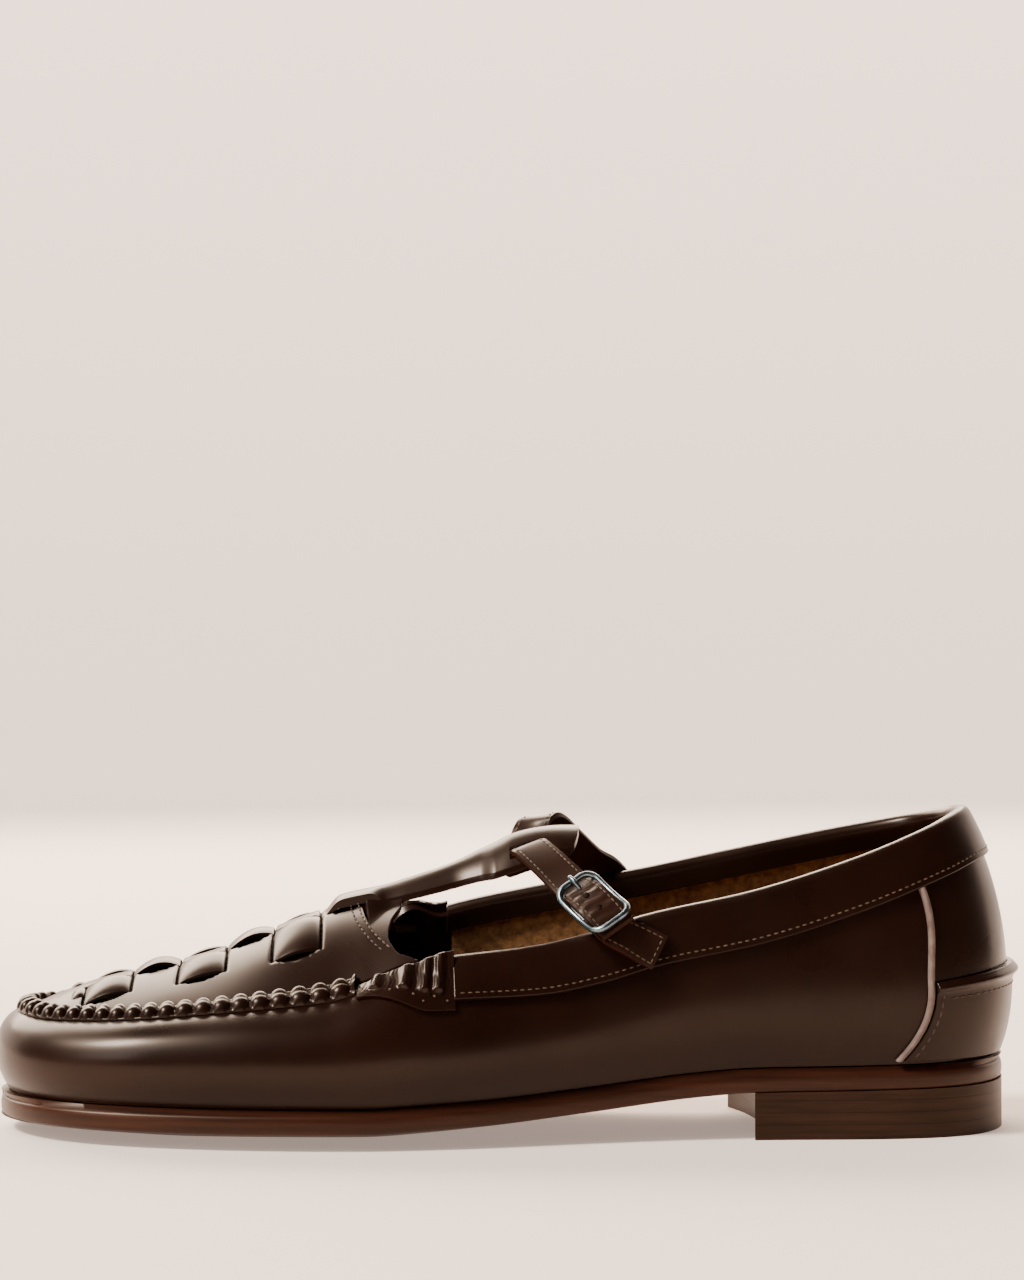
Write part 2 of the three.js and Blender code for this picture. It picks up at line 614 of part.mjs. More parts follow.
// Moc seam: a rounded ridge over the joint of wall and apron
function mocSeam() {
  const end = angleAt(SEAM_END, 1);
  const base = (angle, v) => {
    const edge = topEdge(angle);
    if (v < 0) {
      const level = levelBelowEdge(angle, -v * SEAM_WIDTH / 2);
      return offWall(angle, level, CLEARANCE);
    }
    const sine = Math.sin(angle);
    const forward = Math.max(0, Math.cos(angle)) ** 6;
    const inward = new THREE.Vector3(forward, Math.sign(sine) * Math.abs(sine) ** 0.3, 0).normalize();
    const point = edge.addScaledVector(inward, v * SEAM_WIDTH / 2);
    return point.setZ(Math.max(apronHeight(point.x, point.y), edge.z) + CLEARANCE * (1 + 0.6 * v));
  };
  const place = (u) => end * (1 - 2 * u);
  const up = (angle) => wallNormal(angle, 1).lerp(new THREE.Vector3(0, 0, 1), 0.5).normalize();
  const top = (u, v) => base(place(u), v)
    .addScaledVector(up(place(u)), 0.3 + (SEAM_HEIGHT - 0.3) * Math.sqrt(1 - v * v));
  return sheet(steps(48), [-1, -0.6, 0, 0.6, 1], top, (u, v) => base(place(u), v));
}

// Collar band, folded over the upper's edge from one tab round the heel to the other
function collarBand() {
  const start = angleAt(BAND_START, 1);
  const face = (out) => (u, v) => {
    const angle = start + (2 * Math.PI - 2 * start) * u;
    if (v <= 0) return offWall(angle, levelBelowEdge(angle, -v * BAND_DEPTH), out);
    return offWall(angle, levelBelowEdge(angle, (v - 1) * LINING_DEPTH), -UPPER_WALL - out);
  };
  const over = (out) => (u, v) => {
    const angle = start + (2 * Math.PI - 2 * start) * u;
    const rise = wall(angle, 1).sub(wall(angle, 0.98)).normalize();
    const point = face(out)(u, v);
    const near = v <= 0 ? -v : v - 1;
    return near < 0.01 ? point.addScaledVector(rise, out) : point;
  };
  return sheet(steps(44), [-1, -0.5, 0, 1, 2], over(CLEARANCE + BAND_THICKNESS), over(CLEARANCE));
}

// Gathered tab where the moc seam meets the collar, deepest at its cut rear edge
function tab(medial) {
  const start = angleAt(TAB_START, 1);
  const end = angleAt(TAB_END, 1);
  const face = (out) => (u, v) => {
    const angle = start + (end - start) * u;
    const depth = TAB_FRONT_DEPTH + (TAB_REAR_DEPTH - TAB_FRONT_DEPTH) * smooth(u * 1.3);
    const wave = Math.cos(TAB_FOLDS * 2 * Math.PI * u) * Math.sin(Math.PI * v);
    const fold = out > CLEARANCE ? 0.7 + 0.3 * wave : 1;
    const side = onSide(angle, medial);
    const point = offWall(side, levelBelowEdge(side, depth * (1 - v)), CLEARANCE + (out - CLEARANCE) * fold);
    const stand = TAB_STAND * smooth(2 * u - 1) * smooth(3 * v - 2);
    return point.setZ(point.z + stand);
  };
  return sheet(steps(10), steps(3), face(CLEARANCE + TAB_THICKNESS), face(CLEARANCE));
}

// Heel counter on the wall, behind the piping, with a rolled ridge along its top
const pipingLevels = { foot: 0.03, knee: 0.42, top: 0.8 };

function pipingAngle(level) {
  const { foot, knee, top } = pipingLevels;
  const low = angleAt(PIPING_FOOT, foot);
  const middle = angleAt(PIPING_KNEE, knee);
  const high = angleAt(PIPING_TOP, top);
  const quarter = Math.PI / 2 * Math.max(0, level - foot) / (knee - foot);
  if (level < knee) return low + (middle - low) * Math.sin(quarter);
  return middle + (high - middle) * smooth((level - knee) / (top - knee));
}

const angleForGap = (level, gap) => gap / (wall(pipingAngle(level) + 0.5e-3, level)
  .distanceTo(wall(pipingAngle(level) - 0.5e-3, level)) / 1e-3);

function heelCounter() {
  const place = (u, v) => {
    const top = levelAtHeight(Math.PI, COUNTER_HEIGHT);
    const level = pipingLevels.foot + (top - pipingLevels.foot) * v;
    const start = pipingAngle(level) + angleForGap(level, PIPING_WIDTH / 2 + CLEARANCE);
    return { angle: start + (2 * Math.PI - 2 * start) * u, level };
  };
  const roll = (v) => RIDGE_ROLL * Math.exp(-(((v - 0.93) / 0.06) ** 2));
  const top = (u, v) => {
    const { angle, level } = place(u, v);
    return offWall(angle, level, CLEARANCE + COUNTER_THICKNESS + roll(v));
  };
  const bottom = (u, v) => {
    const { angle, level } = place(u, v);
    return offWall(angle, level, CLEARANCE);
  };
  return sheet(steps(20), [0, 0.3, 0.6, 0.82, 0.89, 0.95, 1], top, bottom);
}

// Piping up the side of the heel, from the sole to the collar band
function piping(medial) {
  const high = levelBelowEdge(angleAt(PIPING_TOP, 1), BAND_DEPTH + CLEARANCE + 0.3);
  const face = (out) => (u, v) => {
    const level = pipingLevels.foot + (high - pipingLevels.foot) * u;
    const angle = pipingAngle(level) + angleForGap(level, v * PIPING_WIDTH / 2);
    return offWall(onSide(angle, medial), level, out);
  };
  const round = (u, v) => face(CLEARANCE + PIPING_THICKNESS * (1 - 0.4 * v * v))(u, v);
  return sheet(steps(12), [-1, 0, 1], round, face(CLEARANCE));
}

// T-bar: a crescent base under the apron's rear edge, a tongue over it, a narrow neck, and a slit paddle
function barHeight(x, y) {
  const row = (column) => read(TBAR_CROWN, column, x / SHOE_LENGTH);
  const hang = row('drop') * INSTEP_HEIGHT * (y / (row('half') * PADDLE_HALF)) ** 2;
  const fromSlit = Math.abs(x - STRAP_CROSSING * SHOE_LENGTH - STRAP_DRIFT) - STRAP_WIDTH / 2;
  const lowered = 1 - smooth(fromSlit / 4);
  const margin = smooth((Math.abs(y) - SLIT_INNER) / (SLIT_WIDTH - 0.2));
  return row('height') * INSTEP_HEIGHT - hang - MARGIN_DROP * lowered * margin;
}

// Base's surface: the apron's, one layer down, climbing behind the apron's edge to the neck's crown
function baseHeight(x, y, delay) {
  const under = (across) => apronHeight(x, across) - APRON_THICKNESS - 1.5 * CLEARANCE;
  const behind = x - apronRear(y) - CLEARANCE - delay;
  const half = 14 - 5 * smooth(behind / 8);
  const shape = Math.max(0, 1 - (y / half) ** 2) ** 2;
  return under(y) + (barHeight(x, 0) - SADDLE_SINK - under(0)) * shape * smooth(behind / SADDLE_RUN);
}

const INNER_ROW = 0.6; // row of the T-bar's grid that follows the slit's inner edge

function tBar() {
  const base = (delay, lift) => (u, v) => {
    const y = v * TBAR_BASE_HALF * BALL_WIDTH;
    const front = apronRear(y) - TBAR_TUCK;
    const rear = read(THROAT_EDGE, 'along', Math.abs(y) / BALL_WIDTH, 'across') * SHOE_LENGTH;
    const x = front + (rear - front) * u;
    return new THREE.Vector3(x, y, baseHeight(x, y, delay) + lift);
  };
  const start = TBAR_START * SHOE_LENGTH;
  const end = TBAR_END * SHOE_LENGTH;
  const bar = (lift) => (u, v) => {
    const x = start + (end - start) * u;
    const past = Math.max(0, (x - end + PADDLE_ROUNDING) / PADDLE_ROUNDING);
    const round = Math.sqrt(Math.max(0.06, 1 - past ** 2));
    const half = read(TBAR_CROWN, 'half', x / SHOE_LENGTH) * PADDLE_HALF * round;
    const inner = Math.min(SLIT_INNER, 0.62 * half);
    const size = Math.abs(v);
    const y = size <= INNER_ROW ? inner * size / INNER_ROW
      : inner + (half - inner) * (size - INNER_ROW) / (1 - INNER_ROW);
    return new THREE.Vector3(x, Math.sign(v) * y, barHeight(x, y) + lift);
  };
  const lengths = [...steps(19, 0, 0.87), 0.91, 0.95, 0.98, 1];
  const rows = [-1, -0.86, -INNER_ROW, -0.28, 0, 0.28, INNER_ROW, 0.86, 1];
  const baseLengths = [0, 0.44, 0.52, 0.6, 0.7, 0.85, 1];
  const baseRows = [-1, -0.83, -0.66, -0.45, -0.3, -0.15, 0, 0.15, 0.3, 0.45, 0.66, 0.83, 1];
  let solid = toSolid(sheet(baseLengths, baseRows, base(0, 0), base(1, -TBAR_THICKNESS)));
  solid = solid.add(toSolid(sheet(lengths, rows, bar(0), bar(-TBAR_THICKNESS))));
  for (const side of [-1, 1]) {
    const slit = new THREE.BoxGeometry(SLIT_LENGTH, SLIT_WIDTH, INSTEP_HEIGHT);
    slit.translate(STRAP_CROSSING * SHOE_LENGTH, side * (SLIT_INNER + SLIT_WIDTH / 2), INSTEP_HEIGHT);
    slit.deleteAttribute('normal');
    slit.deleteAttribute('uv');
    solid = solid.subtract(toSolid(mergeVertices(slit)));
  }
  return toGeometry(solid);
}

// Strap's route and the buckle's own frame
function placeOf({ along, across, height }) {
  return new THREE.Vector3(along * SHOE_LENGTH, across * BALL_WIDTH, height * INSTEP_HEIGHT);
}

const INSTEP_AXIS_HEIGHT = 35;
const INSTEP_TILT = 0.3;

// Outward direction over the instep, square to the T-bar at the top and to the side at the collar
function facing(point) {
  const rise = point.z - INSTEP_AXIS_HEIGHT;
  return new THREE.Vector3(-INSTEP_TILT * rise, point.y, rise).normalize();
}

function freeStation(point, lean) {
  if (lean === undefined) return { point, normal: facing(point) };
  return { point, normal: new THREE.Vector3(-INSTEP_TILT, lean, 1).normalize() };
}

function collarStation(along, drop, out, medial) {
  const angle = onSide(angleAt(along, 1), medial);
  const level = levelBelowEdge(angle, drop);
  return { point: offWall(angle, level, out), normal: wallNormal(angle, level) };
}

const onBand = 2 * CLEARANCE + BAND_THICKNESS + STRAP_THICKNESS / 2;

function buckleFrame() {
  const centre = placeOf(BUCKLE_PLACE);
  const down = centre.clone().sub(placeOf(STRAP_BELOW_SLIT)).normalize();
  const out = facing(centre).addScaledVector(down, -facing(centre).dot(down)).normalize();
  const across = down.clone().cross(out);
  return (along, side, lift) => centre.clone().addScaledVector(down, along)
    .addScaledVector(across, side).addScaledVector(out, lift);
}

const buckle = buckleFrame();
const buckleOut = buckle(0, 0, 1).sub(buckle(0, 0, 0));
const buckleStation = (along, lift) => ({ point: buckle(along, 0, lift), normal: buckleOut });

// Heights over the strap's mid plane at the buckle
const SLEEVE_INNER = BAR_WIRE / 2 + CLEARANCE;
const SLEEVE_OUTER = SLEEVE_INNER + 0.9;
const BAR_LIFT = -1.2;
const HUMP_LIFT = BAR_LIFT + SLEEVE_OUTER + CLEARANCE + STRAP_THICKNESS / 2;
const DIP_LIFT = -0.5;
const SIDE_LIFT = DIP_LIFT + STRAP_THICKNESS / 2 + 2 * CLEARANCE + BUCKLE_WIRE / 2;
const ANCHOR_LIFT = DIP_LIFT - STRAP_THICKNESS - CLEARANCE;
const SIDE_PLACE = (BUCKLE_LENGTH - BUCKLE_WIRE) / 2;
const PRONG_FOOT = -1.6; // along the strap from the bar
const TAIL_LENGTH = 1; // strap's end beyond the middle of the frame's lower side

function instepStations() {
  const underBar = (across, lean) => {
    const x = STRAP_CROSSING * SHOE_LENGTH;
    const flat = Math.min(Math.abs(across), SLIT_INNER - 0.3);
    const z = barHeight(x, flat) - TBAR_THICKNESS - CLEARANCE - STRAP_THICKNESS / 2 - STRAP_PLAY;
    return freeStation(new THREE.Vector3(x, across, z), lean);
  };
  return [
    collarStation(ANCHOR_END, STRAP_SEWN_DEPTH, onBand, true),
    collarStation(0.632, 0.6 * STRAP_SEWN_DEPTH, onBand, true),
    collarStation(COLLAR_CROSSING + 0.008, 0.2 * STRAP_SEWN_DEPTH, onBand + CLEARANCE, true),
    ...STRAP_FAR_ARCH.map((row) => freeStation(placeOf(row), row.lean)),
    underBar(SLIT_INNER + 1.4, -0.8),
    underBar(SLIT_INNER / 2),
    underBar(0),
    underBar(-SLIT_INNER / 2),
    underBar(-SLIT_INNER - 1),
    freeStation(placeOf(STRAP_BELOW_SLIT)),
    buckleStation(-SIDE_PLACE, DIP_LIFT),
    buckleStation(-SIDE_PLACE / 2, (DIP_LIFT + HUMP_LIFT) / 2 + 0.5),
    buckleStation(0, HUMP_LIFT),
    buckleStation(SIDE_PLACE / 2, (DIP_LIFT + HUMP_LIFT) / 2 + 0.5),
    buckleStation(SIDE_PLACE, DIP_LIFT),
    buckleStation(SIDE_PLACE + TAIL_LENGTH, DIP_LIFT),
  ];
}

function rod(from, to, radius, sides) {
  const section = new THREE.Shape().absarc(0, 0, radius, 0, 2 * Math.PI);
  const path = new THREE.LineCurve3(from, to);
  const geometry = new THREE.ExtrudeGeometry(section, { extrudePath: path, steps: 1, curveSegments: sides });
  geometry.deleteAttribute('normal');
  geometry.deleteAttribute('uv');
  return mergeVertices(geometry, 0.002);
}

function instepStrap() {
  const solid = toSolid(strap(instepStations(), STRAP_WIDTH, STRAP_THICKNESS, 48));
  const holeRadius = PRONG_WIRE / 2 + CLEARANCE;
  const hole = toSolid(rod(buckle(PRONG_FOOT, 0, -1), buckle(PRONG_FOOT, 0, 6), holeRadius, 8));
  return toGeometry(solid.subtract(hole));
}

// Anchor strap: sewn outside the collar, looped round the buckle's bar
function anchorStrap() {
  const gap = SLEEVE_OUTER - SLEEVE_INNER;
  const sewn = collarStation(ANCHOR_END, ANCHOR_SEWN_DEPTH, onBand, false);
  const loose = buckleStation(SIDE_PLACE, ANCHOR_LIFT);
  const between = {
    point: sewn.point.clone().lerp(loose.point, 0.5),
    normal: sewn.normal.clone().lerp(loose.normal, 0.5).normalize(),
  };
  const stations = [
    sewn,
    between,
    loose,
    buckleStation(SIDE_PLACE / 2, ANCHOR_LIFT),
    buckleStation(1.2, BAR_LIFT - SLEEVE_INNER - gap / 2),
  ];
  const side = STRAP_WIDTH / 2 - 0.01;
  const sleeve = toSolid(rod(buckle(0, -side, BAR_LIFT), buckle(0, side, BAR_LIFT), SLEEVE_OUTER, 12));
  const bore = toSolid(rod(buckle(0, -side - 1, BAR_LIFT), buckle(0, side + 1, BAR_LIFT), SLEEVE_INNER, 12));
  return toGeometry(toSolid(strap(stations, STRAP_WIDTH, STRAP_THICKNESS, 16)).add(sleeve).subtract(bore));
}

// Buckle's frame: a bent wire rectangle, its two cross sides lifted over the strap, with the centre bar
function buckleWire() {
  const long = SIDE_PLACE;
  const wide = (BUCKLE_WIDTH - BUCKLE_WIRE) / 2;
  const corner = 3.2;
  const shape = new THREE.Shape();
  shape.absarc(long - corner, wide - corner, corner, 0, Math.PI / 2);
  shape.absarc(corner - long, wide - corner, corner, Math.PI / 2, Math.PI);
  shape.absarc(corner - long, corner - wide, corner, Math.PI, 1.5 * Math.PI);
  shape.absarc(long - corner, corner - wide, corner, 1.5 * Math.PI, 2 * Math.PI);
  shape.closePath();
  const path = (turn) => {
    const flat = shape.getPointAt(THREE.MathUtils.euclideanModulo(turn, 1));
    const bow = smooth(Math.abs(flat.x) / long);
    return buckle(flat.x, flat.y, BAR_LIFT + (SIDE_LIFT - BAR_LIFT) * bow);
  };
  const section = (turn) => {
    const tangent = path(turn + 0.002).sub(path(turn - 0.002)).normalize();
    const side = tangent.clone().cross(buckleOut).normalize();
    const out = side.clone().cross(tangent);
    return steps(8).slice(0, -1).map((share) => path(turn)
      .addScaledVector(side, Math.cos(share * 2 * Math.PI) * BUCKLE_WIRE / 2)
      .addScaledVector(out, Math.sin(share * 2 * Math.PI) * BUCKLE_WIRE / 2));
  };
  const bar = rod(buckle(0, -wide, BAR_LIFT), buckle(0, wide, BAR_LIFT), BAR_WIRE / 2, 8);
  return toGeometry(toSolid(ring(32, section)).add(toSolid(bar)));
}

// Prong: up from the sleeve through the strap, and over the frame's upper side
function buckleProng() {
  const over = SIDE_LIFT + BUCKLE_WIRE / 2 + CLEARANCE + PRONG_WIRE / 2;
  const crest = Math.max(over, HUMP_LIFT + STRAP_THICKNESS / 2 + CLEARANCE + PRONG_WIRE / 2);
  const foot = BAR_LIFT + Math.sqrt(SLEEVE_OUTER ** 2 - PRONG_FOOT ** 2) + 2 * CLEARANCE;
  const path = new THREE.CatmullRomCurve3([
    buckle(PRONG_FOOT, 0, foot),
    buckle(PRONG_FOOT - 0.1, 0, crest - 0.7),
    buckle(PRONG_FOOT - 1, 0, crest + 0.1),
    buckle(-SIDE_PLACE / 2 - 1, 0, crest + 0.1),
    buckle(-SIDE_PLACE - 1.6, 0, over),
  ]);
  const section = new THREE.Shape().absarc(0, 0, PRONG_WIRE / 2, 0, 2 * Math.PI);
  const geometry = new THREE.ExtrudeGeometry(section, { extrudePath: path, steps: 10, curveSegments: 7 });
  geometry.deleteAttribute('normal');
  geometry.deleteAttribute('uv');
  return mergeVertices(geometry, 0.002);
}

// Assembly
const calf = { color: 0x38221a, roughness: 0.3, metalness: 0 };
const soleLeather = { color: 0x4a2c22, roughness: 0.55, metalness: 0 };
const suede = { color: 0x6e4a22, roughness: 0.9, metalness: 0 };
const pipingLeather = { color: 0x9d7f74, roughness: 0.6, metalness: 0 };
const steel = { color: 0x8a979c, roughness: 0.25, metalness: 1 };

function piece(name, geometry, finish) {
  const mesh = new THREE.Mesh(geometry, new THREE.MeshStandardMaterial(finish));
  mesh.name = name;
  return mesh;
}

const shoe = new THREE.Group();
shoe.add(
  piece('outsole', outsole(), soleLeather),
  piece('heel', heel(), soleLeather),
  piece('insole', insole(), suede),
  piece('upper', upper(), calf),
  piece('apron', apron(), calf),
  piece('moc_seam', mocSeam(), calf),
  piece('t_bar', tBar(), calf),
  piece('tab_lateral', tab(false), calf),
  piece('tab_medial', tab(true), calf),
  piece('collar_band', collarBand(), calf),
  piece('heel_counter', heelCounter(), calf),
  piece('piping_lateral', piping(false), pipingLeather),
  piece('piping_medial', piping(true), pipingLeather),
  piece('instep_strap', instepStrap(), calf),
  piece('anchor_strap', anchorStrap(), calf),
  piece('buckle_frame', buckleWire(), steel),
  piece('buckle_prong', buckleProng(), steel),
);

const box = new THREE.Box3().setFromObject(shoe);
const centre = box.getCenter(new THREE.Vector3());
shoe.position.set(-centre.x, -centre.y, -box.min.z);

export default shoe;
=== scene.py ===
# The looks of a left woven T-bar loafer: polished calf, hand-sewn seams, steel buckle, stacked heel.
# Shapes are worked out in the shoe's own millimetres, from the toe of its sole, and written in metres.
import math

import bpy
import numpy as np
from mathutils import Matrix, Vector


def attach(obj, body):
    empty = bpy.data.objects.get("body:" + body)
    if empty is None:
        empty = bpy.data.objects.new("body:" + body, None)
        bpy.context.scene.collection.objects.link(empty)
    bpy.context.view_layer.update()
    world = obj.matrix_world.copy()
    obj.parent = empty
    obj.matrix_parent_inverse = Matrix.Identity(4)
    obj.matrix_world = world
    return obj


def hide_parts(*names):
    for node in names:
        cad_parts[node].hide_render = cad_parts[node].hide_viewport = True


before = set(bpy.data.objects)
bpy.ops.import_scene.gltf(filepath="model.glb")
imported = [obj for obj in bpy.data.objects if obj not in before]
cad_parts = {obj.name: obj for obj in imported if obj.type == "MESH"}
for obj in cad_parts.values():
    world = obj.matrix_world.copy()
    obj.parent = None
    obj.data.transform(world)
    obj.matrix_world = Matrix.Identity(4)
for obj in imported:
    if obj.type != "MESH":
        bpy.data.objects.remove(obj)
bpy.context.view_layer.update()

# Driving dimensions, as in the part, in millimetres; those of stitched and gathered forms are the looks' own
SHOE_LENGTH = 262.8
BALL_WIDTH = 91
COLLAR_HEIGHT = 81.5
INSTEP_HEIGHT = 0.945 * COLLAR_HEIGHT
HEEL_HEIGHT = 12.4
HEEL_LENGTH = 69
BREAST_HOLLOW = 5
SOLE_THICKNESS = 4.7
SOLE_MARGIN = 2.2
SOLE_GROOVE = 1.6
UPPER_WALL = 2
BELLY_OVERHANG = 4.2
LASTING_MARGIN = 10
INSOLE_THICKNESS = 2
APRON_THICKNESS = 2.2
APRON_INSET = 0.8
WEAVE_START = 22.6
WEAVE_PITCH = 12.2
COLUMN_SPACING = 12.2
STRIP_WIDTH = 11.4
STRIP_SPREAD = 1.05
STRIP_THICKNESS = 0.85
STRIP_RISE = 2.2
STRIP_CUSHION = 0.35
STRIP_SINK = 0.7
STRIP_CORE = 1.9
TOE_TABS = [(-0.72, -0.42), (0.1, -0.5), (0.9, -0.42)]  # column and cell of each
HOLLOW_DEPTH = 1.4
HOLLOW_BULGE = 2.0
GROOVE_DEPTH = 1.3
GROOVE_HALF = 0.45
SEAM_WIDTH = 5.2
SEAM_HEIGHT = 2.2
BEAD_PITCH = 3.9  # at the toe; it grows by this share of the way to the seam's ends
BEAD_GROWTH = 1.4
BAND_DEPTH = 11.5
LINING_DEPTH = 5
BAND_THICKNESS = 1.2
TAB_THICKNESS = 2.2
TAB_FRONT_DEPTH = 5.5
TAB_REAR_DEPTH = 14
TAB_STAND = 2.6
TAB_LAP = 0.004
TAB_FOLDS = (0.22, 0.52, 0.72, 0.86)  # shares of the tab's length, where its leather stands up
FOLD_HALF = 0.055
FAR_TAB_STAND = 6  # how far the medial tab is pulled up
STAND_LEVEL = 0.65
COUNTER_THICKNESS = 1.2
COUNTER_HEIGHT = 43
RIDGE_ROLL = 1.5
PIPING_WIDTH = 1.6
PIPING_THICKNESS = 1.2
TBAR_THICKNESS = 1.6
TBAR_TUCK = 9
SLIT_WIDTH = 2.9
SLIT_INNER = 6.6
SLIT_AHEAD = 4.3
SLIT_BEHIND = 5.4
PADDLE_HALF = SLIT_INNER + SLIT_WIDTH + 1.5
MARGIN_DROP = 2.8
NEAR_MARGIN_DROP = 0.1
MARGIN_RUN = 4
STRAP_PLAY = 1.3
STRAP_DRIFT = 1.8
STRAP_SEWN_DEPTH = 15
ANCHOR_SEWN_DEPTH = 8.5
STRAP_WIDTH = 9.5
STRAP_THICKNESS = 1.6
BUCKLE_LENGTH = 20
BUCKLE_WIDTH = 12.8
BUCKLE_WIRE = 1.6
BAR_WIRE = 1.4
PRONG_WIRE = 1.2
CLEARANCE = 0.3
SEAT_GAP = 0.05  # between a piece's inner face and the leather that it lies on

# The frame's origin, in the shoe's own millimetres
ORIGIN = np.array([132.829, -1.166, 0.0])
MM = 0.001
TURN = 2 * math.pi


def table(columns, rows):
    """Rows of numbers as named columns."""
    return dict(zip(columns.split(), np.array(rows, float).T))


# Outlines and profiles: lengths as shares of the shoe's length, widths of the ball's, heights of the heel's,
# the collar's or the instep's
SOLE_TIP_ACROSS = 0.044
SOLE_OUTLINE = table("along lateral medial", [
    (0.02, 0.165, 0.242), (0.06, 0.297, 0.341), (0.12, 0.396, 0.418), (0.2, 0.467, 0.473),
    (0.28, 0.505, 0.489), (0.36, 0.516, 0.473), (0.45, 0.484, 0.418), (0.55, 0.418, 0.335),
    (0.65, 0.365, 0.297), (0.75, 0.345, 0.302), (0.85, 0.346, 0.33), (0.92, 0.319, 0.313),
    (0.97, 0.231, 0.231)])
SOLE_PROFILE = table("along centre edge", [
    (0, 0.29, 0.33), (0.06, 0.17, 0.34), (0.12, 0.08, 0.335), (0.2, 0, 0.33), (0.36, 0, 0.335),
    (0.42, 0.08, 0.39), (0.49, 0.27, 0.475), (0.58, 0.54, 0.65), (0.68, 0.82, 0.88),
    (0.737, 0.96, 0.96), (0.8, 0.98, 0.98), (1, 1.04, 1.04)])
EDGE_TOE = 0.0247
EDGE_BACK = 0.9646
EDGE_TOE_ACROSS = 0.038
EDGE_LINE = table("along lateral medial lateral_height medial_height", [
    (0.057, 0.154, 0.209, 0.37, 0.373), (0.103, 0.242, 0.286, 0.375, 0.381),
    (0.155, 0.308, 0.335, 0.388, 0.4), (0.2, 0.341, 0.363, 0.403, 0.42),
    (0.25, 0.363, 0.374, 0.42, 0.443), (0.33, 0.374, 0.375, 0.452, 0.49),
    (0.365, 0.374, 0.374, 0.49, 0.54), (0.405, 0.37, 0.371, 0.54, 0.6),
    (0.445, 0.363, 0.366, 0.556, 0.65), (0.53, 0.346, 0.345, 0.584, 0.708),
    (0.586, 0.333, 0.328, 0.625, 0.74), (0.632, 0.325, 0.313, 0.672, 0.763),
    (0.738, 0.313, 0.293, 0.745, 0.836), (0.837, 0.29, 0.275, 0.843, 0.905),
    (0.913, 0.222, 0.22, 0.935, 0.955), (0.951, 0.118, 0.12, 0.985, 0.985)])
EDGE_HEIGHTS = {
    "along": np.concatenate([[EDGE_TOE], EDGE_LINE["along"], [EDGE_BACK]]),
    "lateral_height": np.concatenate([[0.38], EDGE_LINE["lateral_height"], [1.0]]),
    "medial_height": np.concatenate([[0.38], EDGE_LINE["medial_height"], [1.0]])}
WALL_SHAPE = table("along belly shoulder drop", [
    (0, 0.1, 0.75, 0.004), (0.1, 0.115, 0.74, 0.012), (0.25, 0.14, 0.7, 0.03), (0.36, 0.155, 0.66, 0.06),
    (0.45, 0.165, 0.62, 0.13), (0.6, 0.17, 0.6, 0.17), (0.75, 0.165, 0.64, 0.21),
    (0.9, 0.165, 0.78, 0.25), (1, 0.165, 0.86, 0.26)])
APRON_ROUNDNESS = 1.65
APRON_REAR = 0.357
APRON_REAR_SWEEP = 11
APRON_REAR_HALF = 30
APRON_REAR_BEND = 2.6
APRON_HALF = 0.345
APRON_RIDGE = table("along height", [
    (0.0247, 0.402), (0.0685, 0.466), (0.103, 0.505), (0.139, 0.534), (0.198, 0.582), (0.253, 0.648),
    (0.289, 0.698), (0.322, 0.738), (0.365, 0.777), (0.402, 0.812), (0.447, 0.85)])
TBAR_START = 0.3215
TBAR_END = 0.575
TBAR_CROWN = table("along height half drop", [
    (0.3215, 0.763, 0.52, 0.013), (0.339, 0.786, 0.52, 0.014), (0.3645, 0.805, 0.52, 0.014),
    (0.382, 0.818, 0.55, 0.045), (0.402, 0.839, 0.585, 0.052), (0.447, 0.89, 0.6, 0.065),
    (0.475, 0.935, 0.76, 0.083), (0.491, 0.96, 0.97, 0.096), (0.509, 0.99, 1, 0.104),
    (0.533, 1.01, 1, 0.096), (0.556, 1.018, 1, 0.076), (0.575, 1.018, 1, 0.074)])
PADDLE_ROUNDING = 3.2
SADDLE_RUN = 1.2
SADDLE_SINK = 0.3
NECK_ROOT_HALF = 14
NECK_ROOT_NARROWING = 5
NECK_ROOT_RUN = 8
KEEL_DEPTH = 3.0
KEEL_END = 0.392
TIP_DIP = 2.5
TIP_DIP_RUN = 2.2
STRAP_CROSSING = 0.521
THROAT_EDGE = table("across along", [
    (0, 0.4), (0.077, 0.398), (0.154, 0.387), (0.209, 0.384), (0.28, 0.392), (0.325, 0.414)])
TBAR_BASE_HALF = 0.325
SEAM_END = 0.354
TAB_START = 0.357
TAB_END = 0.443
BAND_START = 0.4455
PIPING_FOOT = 0.878
PIPING_KNEE = 0.909
PIPING_TOP = 0.905
COLLAR_CROSSING = 0.616
ANCHOR_END = 0.638
BUCKLE_PLACE = (0.583, -0.327, 0.772)
STRAP_BELOW_SLIT = (0.5415, -0.171, 0.901)
STRAP_FAR_ARCH = [
    (0.61, 0.339, 0.84, 0.85), (0.5905, 0.291, 0.88, 0.95), (0.57, 0.242, 0.945, 1.1),
    (0.552, 0.198, 1.005, 0.75), (0.538, 0.154, 1.03, -0.2), (0.529, 0.125, 0.985, -1.3)]
INSTEP_AXIS_HEIGHT = 35
INSTEP_TILT = 0.3


# Reading tables, and the shoe's surfaces
def hermite(t, start, end, start_tangent, end_tangent):
    """Cubic between two values with given tangents."""
    t2, t3 = t * t, t * t * t
    return (start * (2 * t3 - 3 * t2 + 1) + start_tangent * (t3 - 2 * t2 + t)
            + end * (3 * t2 - 2 * t3) + end_tangent * (t3 - t2))


